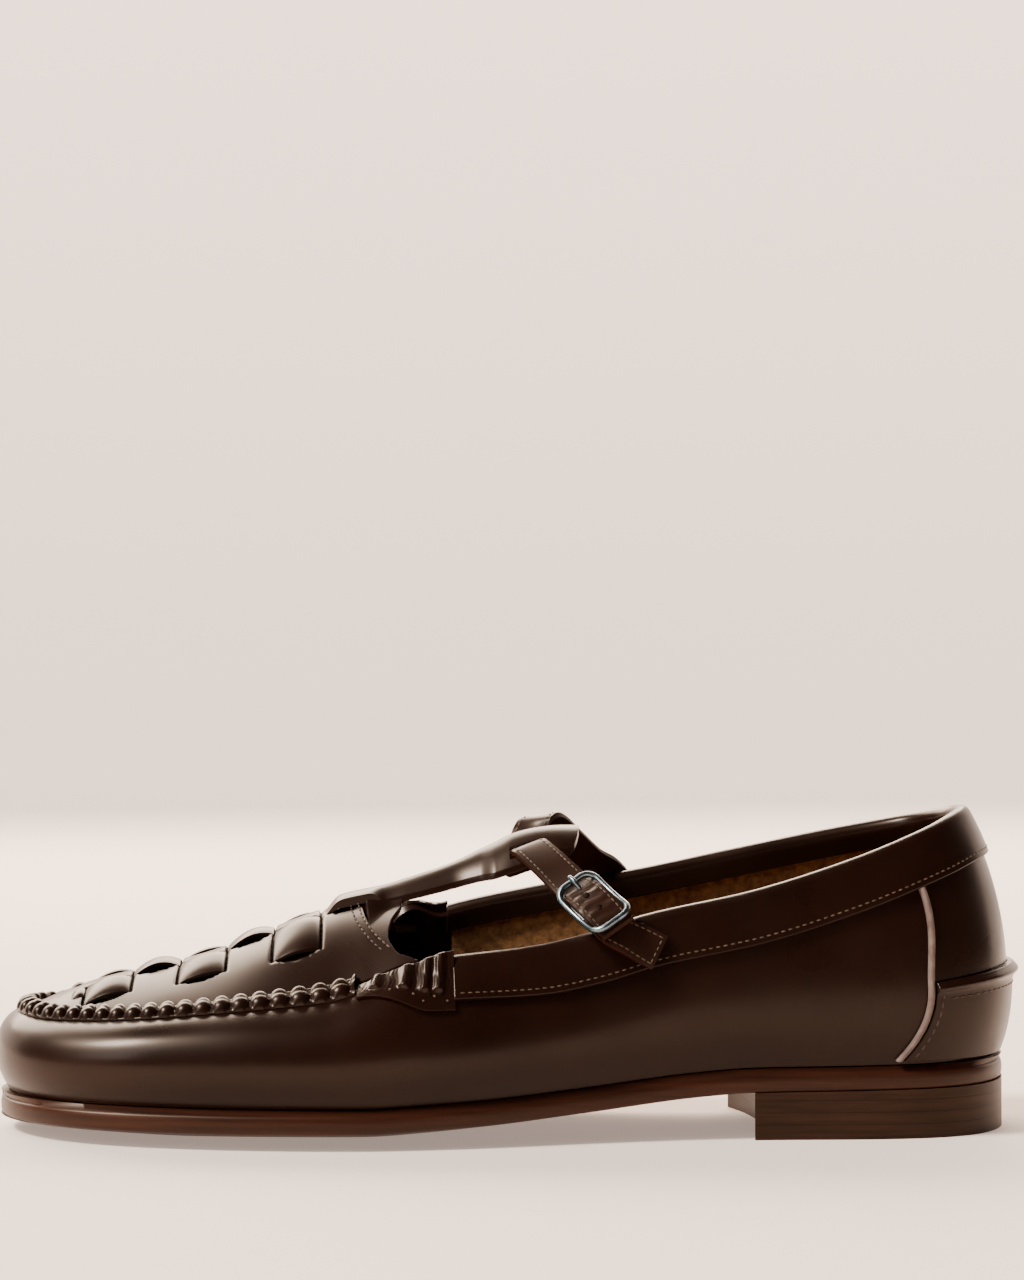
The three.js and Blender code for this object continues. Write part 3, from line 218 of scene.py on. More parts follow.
def read(rows, column, at, key="along"):
    """Monotone cubic through a table's rows, with harmonic-mean tangents."""
    x, y = rows[key], rows[column]
    at = np.clip(at, x[0], x[-1])
    slope = np.diff(y) / np.diff(x)
    before, after = slope[:-1], slope[1:]
    same = before * after > 0
    total = np.where(same, before + after, 1)
    inner = np.where(same, 2 * before * after / total, 0)
    tangent = np.concatenate([slope[:1], inner, slope[-1:]])
    i = np.clip(np.searchsorted(x, at, side="right") - 1, 0, len(x) - 2)
    step = x[i + 1] - x[i]
    return hermite((at - x[i]) / step, y[i], y[i + 1], tangent[i] * step, tangent[i + 1] * step)


def ring_angle(along, start, end):
    """Angle round a ring whose places along the shoe follow half a cosine."""
    return np.arccos(1 - 2 * np.clip((along - start) / (end - start), 0, 1))


def ring_across(rows, start, end, tip):
    """Periodic cubic through a table's half widths, by angle: 0 toe, lateral side first, pi heel."""
    side = ring_angle(rows["along"], start, end)
    at = np.concatenate([[0], side, [math.pi], TURN - side[::-1]])
    value = np.concatenate([[tip], -rows["lateral"], [0], rows["medial"][::-1]]) * BALL_WIDTH
    at = np.concatenate([at[-2:] - TURN, at, at[:3] + TURN])
    value = np.concatenate([value[-2:], value, value[:3]])
    tangent = np.zeros_like(value)
    tangent[1:-1] = (value[2:] - value[:-2]) / (at[2:] - at[:-2])

    def across(angle):
        a = np.mod(angle, TURN)
        i = np.searchsorted(at, a, side="right") - 1
        step = at[i + 1] - at[i]
        return hermite((a - at[i]) / step, value[i], value[i + 1], tangent[i] * step, tangent[i + 1] * step)
    return across


sole_across = ring_across(SOLE_OUTLINE, 0, 1, SOLE_TIP_ACROSS)
edge_across = ring_across(EDGE_LINE, EDGE_TOE, EDGE_BACK, EDGE_TOE_ACROSS)


def xyz(x, y, z):
    """Arrays of places from arrays of coordinates."""
    return np.stack(np.broadcast_arrays(x, y, z), -1).astype(float)


def unit(v):
    """Directions of unit length."""
    return v / np.maximum(np.linalg.norm(v, axis=-1, keepdims=True), 1e-12)


def share_of(angle):
    """Share of the ring's length at an angle."""
    return (1 - np.cos(angle)) / 2


def smooth(t):
    """Smooth step from 0 to 1."""
    t = np.clip(t, 0, 1)
    return t * t * (3 - 2 * t)


def sole_under(x, column):
    """Height of the outsole's underside."""
    return read(SOLE_PROFILE, column, x / SHOE_LENGTH) * HEEL_HEIGHT


def outline(angle, out):
    """The outsole's outline moved out by a distance, at the height of the upper's foot."""
    x = share_of(angle) * (SHOE_LENGTH + 2 * out) - out
    z = sole_under(x, "edge") + SOLE_THICKNESS + SOLE_GROOVE
    return xyz(x, sole_across(angle) * (1 + 2 * out / BALL_WIDTH), z)


def top_edge(angle):
    """The upper's top edge: moc seam in front, collar behind."""
    along = EDGE_TOE + share_of(angle) * (EDGE_BACK - EDGE_TOE)
    lateral = read(EDGE_HEIGHTS, "lateral_height", along)
    medial = read(EDGE_HEIGHTS, "medial_height", along)
    height = np.where(np.mod(angle, TURN) <= math.pi, lateral, medial) * COLLAR_HEIGHT
    return xyz(along * SHOE_LENGTH, edge_across(angle), height)


def wall(angle, level):
    """Cubic Bezier from the sole (level 0) to the top edge (level 1) at each angle."""
    angle, level = np.broadcast_arrays(np.asarray(angle, float), np.asarray(level, float))
    foot, belly, edge = outline(angle, -SOLE_MARGIN), outline(angle, BELLY_OVERHANG), top_edge(angle)
    row = {c: read(WALL_SHAPE, c, share_of(angle)) for c in ("belly", "shoulder", "drop")}
    belly[..., 2] = foot[..., 2] + row["belly"] * COLLAR_HEIGHT
    shoulder = edge + (belly - edge) * row["shoulder"][..., None]
    shoulder[..., 2] = edge[..., 2] - row["drop"] * COLLAR_HEIGHT
    t = level[..., None]
    return (foot * (1 - t) ** 3 + 3 * belly * t * (1 - t) ** 2 + 3 * shoulder * t * t * (1 - t)
            + edge * t ** 3)


def wall_normal(angle, level):
    """Outward normal: the direction round the shoe crossed with the direction up the wall."""
    step = 0.01
    round_ = wall(angle + step, level) - wall(angle - step, level)
    up = wall(angle, np.minimum(level + step, 1)) - wall(angle, np.maximum(level - step, 0))
    return unit(np.cross(round_, up))


def off_wall(angle, level, out):
    """A place at a distance outside the wall."""
    return wall(angle, level) + wall_normal(angle, level) * np.asarray(out, float)[..., None]


def level_below_edge(angle, drop):
    """Level at which the wall has dropped a distance below its top edge, measured along the wall."""
    angle, drop = np.broadcast_arrays(np.asarray(angle, float), np.asarray(drop, float))
    steps = 60
    levels = np.linspace(1, 0, steps + 1)
    points = wall(angle[..., None], levels)
    lengths = np.cumsum(np.linalg.norm(np.diff(points, axis=-2), axis=-1), axis=-1)
    lengths = np.concatenate([np.zeros_like(lengths[..., :1]), lengths], -1)
    i = np.clip((lengths < drop[..., None]).sum(-1) - 1, 0, steps - 1)[..., None]
    low = np.take_along_axis(lengths, i, -1)[..., 0]
    high = np.take_along_axis(lengths, i + 1, -1)[..., 0]
    return np.clip(1 - (i[..., 0] + (drop - low) / (high - low)) / steps, 0, 1)


def bisect(test, low, high):
    """Highest value, between two numbers, for which the test still holds."""
    for _ in range(24):
        middle = (low + high) / 2
        low, high = np.where(test(middle), middle, low), np.where(test(middle), high, middle)
    return low


def level_at_height(angle, height):
    """Level at which the wall reaches a height."""
    return bisect(lambda v: wall(angle, v)[..., 2] < height, 0.0 * angle, 0.0 * angle + 1)


def angle_at(along, level):
    """Angle on the lateral side at which a level of the wall passes a place along the shoe."""
    level = np.asarray(level, float)
    return bisect(lambda a: wall(a, level)[..., 0] < along * SHOE_LENGTH, 0.0 * level, 0.0 * level + math.pi)


def edge_angle(along):
    """Angle on the lateral side at which the top edge passes a place along the shoe."""
    return float(angle_at(along, np.array(1.0)))


def on_side(angle, medial):
    """The same place on the lateral or the medial side."""
    return TURN - angle if medial else angle


def apron_height(x, y):
    """Apron's outer surface: a crown line less a power curve towards the top edge at each side."""
    angle = ring_angle(x / SHOE_LENGTH, EDGE_TOE, EDGE_BACK)
    lateral, medial = top_edge(angle), top_edge(TURN - angle)
    width = np.maximum(medial[..., 1] - lateral[..., 1], 0.01)
    s = np.clip(2 * (y - lateral[..., 1]) / width - 1, -1, 1)
    edge = lateral[..., 2] + (medial[..., 2] - lateral[..., 2]) * (s + 1) / 2
    crown = read(APRON_RIDGE, "height", x / SHOE_LENGTH) * INSTEP_HEIGHT
    return crown - (crown - edge) * np.abs(s) ** APRON_ROUNDNESS


def apron_rear(y):
    """Apron's rear edge, swept back towards its corners."""
    return APRON_REAR * SHOE_LENGTH + APRON_REAR_SWEEP * np.abs(y / APRON_REAR_HALF) ** APRON_REAR_BEND


def bar_height(x, y):
    """T-bar's outer surface: crown line less a parabola to its edges, its margins let down at the strap."""
    row = {c: read(TBAR_CROWN, c, x / SHOE_LENGTH) for c in ("height", "half", "drop")}
    hang = row["drop"] * INSTEP_HEIGHT * (y / (row["half"] * PADDLE_HALF)) ** 2
    from_slit = np.abs(x - STRAP_CROSSING * SHOE_LENGTH - STRAP_DRIFT) - STRAP_WIDTH / 2
    lowered = 1 - smooth(from_slit / MARGIN_RUN)
    margin = smooth((np.abs(y) - SLIT_INNER) / (SLIT_WIDTH - 0.2))
    drop = np.where(y < 0, NEAR_MARGIN_DROP, MARGIN_DROP)
    return row["height"] * INSTEP_HEIGHT - hang - drop * lowered * margin


def base_height(x, y, delay):
    """T-bar's base: the apron's surface one layer down, climbing behind its edge to the neck's crown."""
    layer = APRON_THICKNESS + 1.5 * CLEARANCE
    under, middle = apron_height(x, y) - layer, apron_height(x, 0 * y) - layer
    behind = x - apron_rear(y) - CLEARANCE - delay
    half = NECK_ROOT_HALF - NECK_ROOT_NARROWING * smooth(behind / NECK_ROOT_RUN)
    shape = np.maximum(0, 1 - (y / half) ** 2) ** 2
    return under + (bar_height(x, 0 * y) - SADDLE_SINK - middle) * shape * smooth(behind / SADDLE_RUN)


# Meshes from arrays
def put(name, points, faces, materials, smooth_angle):
    """A mesh object from places in the shoe's millimetres and faces of equal size, smooth below an angle."""
    mesh = bpy.data.meshes.new(name)
    faces = np.asarray(faces, np.int32)
    mesh.vertices.add(len(points))
    mesh.vertices.foreach_set("co", ((np.asarray(points, float).reshape(-1, 3) - ORIGIN) * MM).ravel())
    mesh.loops.add(faces.size)
    mesh.loops.foreach_set("vertex_index", faces.ravel())
    mesh.polygons.add(len(faces))
    mesh.polygons.foreach_set("loop_start", np.arange(0, faces.size, faces.shape[1], dtype=np.int32))
    mesh.update(calc_edges=True)
    mesh.validate()
    mesh.polygons.foreach_set("use_smooth", np.ones(len(mesh.polygons), bool))
    mesh.update()
    if smooth_angle:
        mesh.set_sharp_from_angle(angle=math.radians(smooth_angle))
    piece = bpy.data.objects.new(name, mesh)
    bpy.context.scene.collection.objects.link(piece)
    for material in materials:
        mesh.materials.append(material)
    return piece


def finish_piece(piece, nodes=(), bevel=0.0):
    """Rides the piece on the shoe and what it stands for, and rounds its cut edges."""
    if bevel:
        rounding = piece.modifiers.new("cut edges", "BEVEL")
        rounding.width = bevel * MM
        rounding.segments = 2
        rounding.limit_method = "ANGLE"
        rounding.angle_limit = math.radians(50)
    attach(piece, "root")
    if nodes:
        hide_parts(*nodes)
    return piece


def grid_faces(rows, columns, wrap_rows=False, wrap_columns=False):
    """Quads of a grid of points, row by row."""
    i = np.arange(rows if wrap_rows else rows - 1)[:, None]
    j = np.arange(columns if wrap_columns else columns - 1)[None, :]
    a, b = i * columns + j, i * columns + (j + 1) % columns
    c, d = ((i + 1) % rows) * columns + j, ((i + 1) % rows) * columns + (j + 1) % columns
    return np.stack([a, c, d, b], -1).reshape(-1, 4)


def outward(points, faces):
    """Turns the faces round if their signed volume says that they face in."""
    p = points.reshape(-1, 3)
    a, b, c, d = (p[faces[:, k]] for k in range(4))
    volume = np.einsum("ij,ij->i", a, np.cross(b, c)).sum() + np.einsum("ij,ij->i", a, np.cross(c, d)).sum()
    return faces if volume > 0 else faces[:, ::-1]


def sheet_faces(rows, columns):
    """Quads of two stacked grids joined round their border."""
    layer = rows * columns
    top = grid_faces(rows, columns)
    border = np.concatenate([
        np.arange(rows) * columns, (rows - 1) * columns + np.arange(1, columns),
        np.arange(rows - 2, -1, -1) * columns + columns - 1, np.arange(columns - 2, -1, -1)])
    p, q = border[:-1], border[1:]
    sides = np.stack([q, p, p + layer, q + layer], -1)
    return np.concatenate([top, top[:, ::-1] + layer, sides])


def sheet(name, us, vs, top, bottom, materials, smooth_angle):
    """A sheet with thickness: two faces over one grid of u and v, joined round the border."""
    u, v = np.meshgrid(us, vs, indexing="ij")
    points = np.concatenate([top(u, v).reshape(-1, 3), bottom(u, v).reshape(-1, 3)])
    return put(name, points, outward(points, sheet_faces(len(us), len(vs))), materials, smooth_angle)


def tube(name, path, radius, sides, materials, up, closed=False, taper=None):
    """A round wire along a path: circles square to the path's tangent, capped unless closed."""
    tangent = unit(np.roll(path, -1, 0) - np.roll(path, 1, 0)) if closed else unit(np.gradient(path, axis=0))
    side = unit(np.cross(tangent, up))
    out = np.cross(side, tangent)
    a = np.arange(sides) * TURN / sides
    r = radius * (np.ones(len(path)) if taper is None else taper)
    rings = path[:, None] + r[:, None, None] * (np.cos(a)[None, :, None] * side[:, None]
                                                 + np.sin(a)[None, :, None] * out[:, None])
    faces = grid_faces(len(path), sides, closed, True)
    points = rings.reshape(-1, 3)
    if closed:
        return put(name, points, outward(points, faces), materials, None)
    points = np.concatenate([points, path[:1], path[-1:]])
    n, last = len(points), (len(path) - 1) * sides
    k = np.arange(sides)
    start = np.stack([k, (k + 1) % sides, np.full(sides, n - 2)], -1)
    end = np.stack([last + (k + 1) % sides, last + k, np.full(sides, n - 1)], -1)
    triangles = np.concatenate([faces[:, [0, 1, 2]], faces[:, [0, 2, 3]], start, end])
    volume = np.einsum("ij,ij->i", points[triangles[:, 0]],
                       np.cross(points[triangles[:, 1]], points[triangles[:, 2]])).sum()
    return put(name, points, triangles if volume >= 0 else triangles[:, ::-1], materials, 60)


def stitches(name, place, facing, forward, length, width, height, materials):
    """Short rounded stitches: a flattened ellipsoid at each place, along forward, standing on facing."""
    rows, columns, end_gap = 7, 8, 0.18
    a = np.linspace(end_gap, math.pi - end_gap, rows)[:, None]
    b = (np.arange(columns) * TURN / columns)[None, :]
    shape = np.stack(np.broadcast_arrays(-np.cos(a) * length / 2, np.sin(a) * np.cos(b) * width / 2,
                                         np.sin(a) * np.sin(b) * height / 2), -1).reshape(-1, 3)
    side = unit(np.cross(facing, forward))
    forward = unit(np.cross(side, facing))
    points = (place[:, None] + shape[None, :, :1] * forward[:, None] + shape[None, :, 1:2] * side[:, None]
              + shape[None, :, 2:] * facing[:, None])
    ring = grid_faces(rows, columns, False, True)
    caps = np.array([[0, 1, 2, 3], [0, 3, 4, 7], [4, 5, 6, 7]])
    caps = np.concatenate([caps, caps[:, ::-1] + (rows - 1) * columns])
    faces = np.concatenate([ring, caps])
    faces = (faces[None] + (np.arange(len(place)) * rows * columns)[:, None, None]).reshape(-1, 4)
    points = points.reshape(-1, 3)
    return put(name, points, outward(points, faces), materials, None)


def path_length(points):
    """Length from a path's start to each of its points."""
    return np.concatenate([[0], np.cumsum(np.linalg.norm(np.diff(points, axis=0), axis=1))])


def along_path(at, length, values):
    """A path's values read at given lengths."""
    return np.stack([np.interp(at, length, values[:, k]) for k in range(3)], -1)


def evenly(points, pitch):
    """Places along a path at an even pitch, with the path's direction there."""
    length, step = path_length(points), 0.2
    at = np.arange(pitch / 2, length[-1], pitch)
    forward = unit(along_path(at + step, length, points) - along_path(at - step, length, points))
    return along_path(at, length, points), forward, at, length


# Materials
def linear(hex_colour):
    """sRGB hex to linear, with alpha."""
    parts = [int(hex_colour[i:i + 2], 16) / 255 for i in (1, 3, 5)]
    return [p / 12.92 if p <= 0.04045 else ((p + 0.055) / 1.055) ** 2.4 for p in parts] + [1.0]


def add(tree, kind, settings=(), **inputs):
    """Adds a node, sets its properties, and links or sets its inputs: by name, or i and a number."""
    node = tree.nodes.new(kind)
    for key, value in dict(settings).items():
        setattr(node, key, value)
    for key, value in inputs.items():
        numbered = key[0] == "i" and key[1:].isdigit()
        socket = node.inputs[int(key[1:]) if numbered else key.replace("_", " ")]
        if isinstance(value, bpy.types.NodeSocket):
            tree.links.new(value, socket)
        else:
            socket.default_value = value
    return node


def material(name):
    """A named material with an empty tree, and its Principled shader and object coordinates."""
    made = bpy.data.materials.new(name)
    made.use_nodes = True
    tree = made.node_tree
    tree.nodes.clear()
    shader = add(tree, "ShaderNodeBsdfPrincipled")
    add(tree, "ShaderNodeOutputMaterial", Surface=shader.outputs[0])
    where = add(tree, "ShaderNodeTexCoord").outputs["Object"]
    return made, tree, shader, where


def finish_shader(shader, **values):
    """Sets or links the shader's own sockets, by name."""
    for key, value in values.items():
        socket = shader.inputs[key.replace("_", " ")]
        if isinstance(value, bpy.types.NodeSocket):
            shader.id_data.links.new(value, socket)
        else:
            socket.default_value = value


def per_metre(size_mm):
    """Scale of a pattern whose patches have a size in millimetres."""
    return 1000.0 / size_mm


def browns(ramp, low, high, dark, light):
    """Sets a ramp's two stops, and gives its colour."""
    for stop, position, shade in zip(ramp.color_ramp.elements, (low, high), (dark, light)):
        stop.position = position
        stop.color = linear(shade)
    return ramp.outputs["Color"]


def mottled(tree, where, patch_mm, low, high, dark, light):
    """A colour that drifts between two browns in soft patches."""
    noise = add(tree, "ShaderNodeTexNoise", Vector=where, Scale=per_metre(patch_mm), Detail=5.0,
                Roughness=0.6)
    return browns(add(tree, "ShaderNodeValToRGB", Fac=noise.outputs["Fac"]), low, high, dark, light)


def leather(name, dark, light, roughness, grain_mm, grain_height, gloss=0.3, coat=0.06):
    """Drum-dyed leather, ironed and waxed: fine pores, a slow wave, and a waxy gloss over them."""
    made, tree, shader, where = material(name)
    patch_mm, wave_mm = 26.3, 16.67
    pores = add(tree, "ShaderNodeTexNoise", Vector=where, Scale=per_metre(grain_mm), Detail=2.0)
    wave = add(tree, "ShaderNodeTexNoise", Vector=where, Scale=per_metre(wave_mm), Detail=0.0)
    fine = add(tree, "ShaderNodeBump", Height=pores.outputs["Fac"], Distance=grain_height * MM, Strength=0.5)
    both = add(tree, "ShaderNodeBump", Height=wave.outputs["Fac"], Distance=0.25 * MM, Strength=0.2,
               Normal=fine.outputs["Normal"])
    spread = add(tree, "ShaderNodeMapRange", Value=wave.outputs["Fac"], i1=0.0, i2=1.0, i3=roughness - 0.08,
                 i4=roughness + 0.1)
    finish_shader(shader, Base_Color=mottled(tree, where, patch_mm, 0.15, 0.85, dark, light),
                  Normal=both.outputs["Normal"], Roughness=spread.outputs[0], IOR=1.45,
                  Specular_IOR_Level=gloss, Specular_Tint=linear("#ead4c2"), Coat_Weight=coat,
                  Coat_Roughness=0.14)
    return made


def suede_leather():
    """Flesh side of calf, brushed: matt tan nap with short mottled fibres."""
    made, tree, shader, where = material("flesh-side calf, brushed")
    nap = add(tree, "ShaderNodeTexNoise", Vector=where, Scale=per_metre(1.11), Detail=4.0, Roughness=0.7)
    raised = add(tree, "ShaderNodeBump", Height=nap.outputs["Fac"], Distance=0.5 * MM, Strength=0.8)
    finish_shader(shader, Base_Color=mottled(tree, where, 2.38, 0.32, 0.7, "#5c3b1b", "#946a3c"),
                  Normal=raised.outputs["Normal"], Roughness=0.95, Specular_IOR_Level=0.2, Sheen_Weight=0.3)
    return made


def fibres(tree, where, long_mm, thick_mm, detail):
    """Level fibres of a length and a thickness: noise drawn out along and across, and thin in height."""
    stretch = add(tree, "ShaderNodeMapping", Vector=where,
                  Scale=(per_metre(long_mm), per_metre(long_mm), per_metre(thick_mm)))
    return add(tree, "ShaderNodeTexNoise", Vector=stretch.outputs[0], Scale=1.0, Detail=detail).outputs["Fac"]


def sole_leather():
    """Vegetable-tanned sole leather, edge stained and waxed: brown, with fine lengthwise fibres."""
    made, tree, shader, where = material("sole leather, edge waxed")
    fibre = fibres(tree, where, 34.7, 1.25, 4.0)
    raised = add(tree, "ShaderNodeBump", Height=fibre, Distance=0.15 * MM, Strength=0.4)
    ramp = add(tree, "ShaderNodeValToRGB", Fac=fibre)
    finish_shader(shader, Base_Color=browns(ramp, 0.3, 0.72, "#200e08", "#381b10"),
                  Normal=raised.outputs["Normal"], Roughness=0.4, Specular_IOR_Level=0.3,
                  Specular_Tint=linear("#e2c3a8"), Coat_Weight=0.1, Coat_Roughness=0.3)
    return made


def heel_leather():
    """Stacked leather lifts, pressed and stained: thin level lines between 3.1 mm layers."""
    made, tree, shader, where = material("stacked heel leather, stained")
    height = add(tree, "ShaderNodeSeparateXYZ", Vector=where).outputs["Z"]
    layers = add(tree, "ShaderNodeMath", {"operation": "MULTIPLY"}, i0=height, i1=TURN / (3.1 * MM))
    line = add(tree, "ShaderNodeMath", {"operation": "SINE"}, i0=layers.outputs[0])
    shade = add(tree, "ShaderNodeMapRange", Value=line.outputs[0], i1=0.9, i2=1.0, i3=0.0, i4=0.45)
    fibre = fibres(tree, where, 26.7, 1.587, 5.0)
    ramp = add(tree, "ShaderNodeValToRGB", Fac=fibre)
    mix = add(tree, "ShaderNodeMix", {"data_type": "RGBA"}, Factor=shade.outputs[0],
              i6=browns(ramp, 0.3, 0.75, "#20130d", "#342118"), i7=linear("#1a0f0a"))
    raised = add(tree, "ShaderNodeBump", Height=fibre, Distance=0.12 * MM, Strength=0.4)
    lined = add(tree, "ShaderNodeBump", Height=shade.outputs[0], Distance=-0.15 * MM, Strength=0.5,
                Normal=raised.outputs["Normal"])
    finish_shader(shader, Base_Color=mix.outputs[2], Normal=lined.outputs["Normal"], Roughness=0.45,
                  Specular_IOR_Level=0.25, Specular_Tint=linear("#e2c3a8"), Coat_Weight=0.04,
                  Coat_Roughness=0.3)
    return made


def fine_grained(name, colour, grain_mm, detail, height_mm, strength, **finish):
    """One mottled colour (patch in mm, the ramp's stops, dark, light) under one fine relief."""
    made, tree, shader, where = material(name)
    grain = add(tree, "ShaderNodeTexNoise", Vector=where, Scale=per_metre(grain_mm), Detail=detail)
    raised = add(tree, "ShaderNodeBump", Height=grain.outputs["Fac"], Distance=height_mm * MM,
                 Strength=strength)
    finish_shader(shader, Base_Color=mottled(tree, where, *colour), Normal=raised.outputs["Normal"], **finish)
    return made


CALF = leather("calf leather, dyed and polished", "#110603", "#1f0e08", 0.3, 0.9, 0.01)
STRAP = leather("strap leather, dyed and waxed", "#190c08", "#2b1811", 0.36, 0.9, 0.015)
CUT = leather("cut edge of strap leather, inked", "#20100a", "#351b11", 0.5, 0.8, 0.03, 0.15, 0.0)
# Near-black leather as painted shade: put on hollows, gaps, hidden cut edges, holes and the dark inside of
# the shoe, where shade falls
PAINTED_SHADE = leather("calf leather, painted shade", "#0b0503", "#150a06", 0.6, 0.9, 0.02, 0.08, 0.0)
SUEDE = suede_leather()
SOLE = sole_leather()
HEEL = heel_leather()
# Raw cut edge of piping leather: pale, pinkish and matt, darkened where it was handled
PALE = fine_grained("piping leather, raw cut edge", (3.85, 0.3, 0.75, "#4c3a33", "#7b6a62"), 1.43, 3.0,
                    0.2, 0.5, Roughness=0.7)
# Waxed linen: short strands with a satin gloss
TAN_THREAD = fine_grained("linen thread, tan", (2.0, 0.35, 0.7, "#36291b", "#5b4732"), 0.667, 2.0,
                          0.1, 0.5, Roughness=0.55)
DARK_THREAD = fine_grained("linen thread, dark brown", (2.0, 0.35, 0.7, "#1b0f0b", "#3d261b"), 0.667, 2.0,
                           0.1, 0.5, Roughness=0.55)
# Cold-drawn wire: cool grey with fine hairlines
STEEL = fine_grained("steel wire, polished and blued", (3.33, 0.3, 0.75, "#4c5a63", "#8b9ba4"), 0.714, 2.0,
                     0.03, 0.3, Metallic=1.0, Roughness=0.28)


def set_faces(piece, index, chosen):
    """Gives the chosen faces the piece's material of that index."""
    values = np.zeros(len(piece.data.polygons), np.int32)
    piece.data.polygons.foreach_get("material_index", values)
    values[:len(chosen)][chosen] = index
    piece.data.polygons.foreach_set("material_index", values)


# Upper
def make_upper():
    """The wall carried round the foot: outer curve, lining inside it, and the leather turned in below;
    inside, suede at the back and painted shade ahead of it.
    """
    count, lining_end, suede_start = 480, 0.14, 0.455
    angle = np.arange(count) * TURN / count
    outer = np.linspace(0, 1, 44)
    inner = np.linspace(1, lining_end, 26)
    # Soft waves of 0.12 mm below the collar, at the flex of the foot
    rise = 0.12 * np.sin(5 * angle)[:, None] * np.exp(-((outer - 0.75) / 0.12) ** 2)[None, :]
    slack = rise * np.exp(-((share_of(angle) - 0.42) / 0.07) ** 2)[:, None]
    a = angle[:, None]
    out = off_wall(a + 0 * outer, outer + 0 * a, slack)
    lining = off_wall(a + 0 * inner, inner + 0 * a, np.full((count, len(inner)), -float(UPPER_WALL)))
    for face, level in ((out, outer), (lining, inner)):
        face[..., 2] += far_stand(a) * smooth((level - STAND_LEVEL) / (1 - STAND_LEVEL))
    foot = wall(angle, 0.0 * angle)
    inward = wall_normal(angle, 0.0 * angle)
    inward[:, 2] = 0
    inward = -unit(inward)
    up = np.array([0, 0, float(UPPER_WALL)])
    turned = np.stack([foot + inward * UPPER_WALL * 0.75 + up, foot + inward * LASTING_MARGIN + up,
                       foot + inward * LASTING_MARGIN], 1)
    points = np.concatenate([out, lining, turned], 1)
    size = points.shape[1]
    faces = outward(points, grid_faces(count, size, True, True))
    piece = put("upper_leather", points.reshape(-1, 3), faces, [CALF, SUEDE, PAINTED_SHADE], 50)
    column = np.tile(np.arange(size), count)
    inside = (column >= len(outer) + 1) & (column < size - 1)
    behind = np.repeat(share_of(angle), size) > suede_start
    set_faces(piece, 1, inside & behind)
    # The lining ahead of the suede takes painted shade: the dark inside of the toe
    set_faces(piece, 2, inside & ~behind)
    return finish_piece(piece, ["upper"])


# Sole and heel
def across_outline(u, v, out):
    """A level plate inside the outline: u from toe to heel, v from side to side."""
    lateral, medial = outline(u * math.pi, out), outline(TURN - u * math.pi, out)
    return lateral + (medial - lateral) * ((v + 1) / 2)[..., None]


def make_outsole():
    """Plate with a rounded rim: its edge bulges by a half ellipse between top and underside."""
    flat, crown_power, rim_round = 0.26, 1.6, 0.9
    us = np.linspace(0.004, 0.996, 300)
    inner = np.array([0, flat, 0.4, 0.55, 0.7, 0.82, 0.9, 0.94])
    u = us[:, None]
    across = np.concatenate([-inner[::-1], inner[1:]])
    v = across[None, :] + 0 * u
    low, high = across_outline(u + 0 * v, v, 0), across_outline(u + 0 * v, v, 0)
    crown = np.maximum(0, (np.abs(v) - flat) / (1 - flat)) ** crown_power
    centre = sole_under(low[..., 0], "centre")
    low[..., 2] = centre + (sole_under(low[..., 0], "edge") - centre) * crown
    high[..., 2] -= CLEARANCE
    a = np.linspace(-math.pi / 2, math.pi / 2, 9)[None, :]

    def rim(side):
        vv = side + 0 * u + 0 * a
        base = across_outline(u + 0 * a, vv, -rim_round)
        bulge = unit(across_outline(u + 0 * a, vv, 0) - across_outline(u + 0 * a, vv, -2))
        bulge[..., 2] = 0
        point = base + unit(bulge) * (rim_round * np.cos(a) ** 0.7)[..., None]
        point[..., 2] = sole_under(base[..., 0], "edge") + SOLE_THICKNESS * (np.sin(a) + 1) / 2
        return point

    section = np.concatenate([low, rim(1.0), high[:, ::-1], rim(-1.0)[:, ::-1]], 1)
    count, size = section.shape[:2]
    quads = grid_faces(count, size, False, True)
    faces = outward(section, quads)
    points = np.concatenate([section.reshape(-1, 3), section[[0, -1]].mean(1)])
    k = np.arange(size)
    first = np.stack([k, (k + 1) % size, np.full(size, count * size)], -1)
    last = np.stack([(count - 1) * size + (k + 1) % size, (count - 1) * size + k,
                     np.full(size, count * size + 1)], -1)
    ends = np.concatenate([first, last])
    ends = ends if faces[0, 1] == quads[0, 1] else ends[:, ::-1]
    triangles = np.concatenate([faces[:, [0, 1, 2]], faces[:, [0, 2, 3]], ends])
    piece = put("outsole_leather", points, triangles, [SOLE], 55)
    return finish_piece(piece, ["outsole"])


def make_heel():
    """Block under the seat: the sole's outline behind a breast hollowed by a parabola."""
    us = np.sin(np.linspace(0, 0.985, 90) * math.pi / 2)
    vs = np.linspace(-1, 1, 41)

    def foot(u, v):
        breast = SHOE_LENGTH - HEEL_LENGTH + BREAST_HOLLOW * (1 - v * v)
        x = breast + (SHOE_LENGTH - breast) * u
        angle = ring_angle(x / SHOE_LENGTH, 0, 1)
        lateral, medial = sole_across(angle), sole_across(TURN - angle)
        return xyz(x, lateral + (medial - lateral) * (v + 1) / 2, 0 * x)

    def top(u, v):
        p = foot(u, v)
        p[..., 2] = sole_under(p[..., 0], "centre") - SEAT_GAP
        return p
    piece = sheet("heel_lifts", us, vs, top, foot, [HEEL], 40)
    return finish_piece(piece, ["heel"], 0.35)


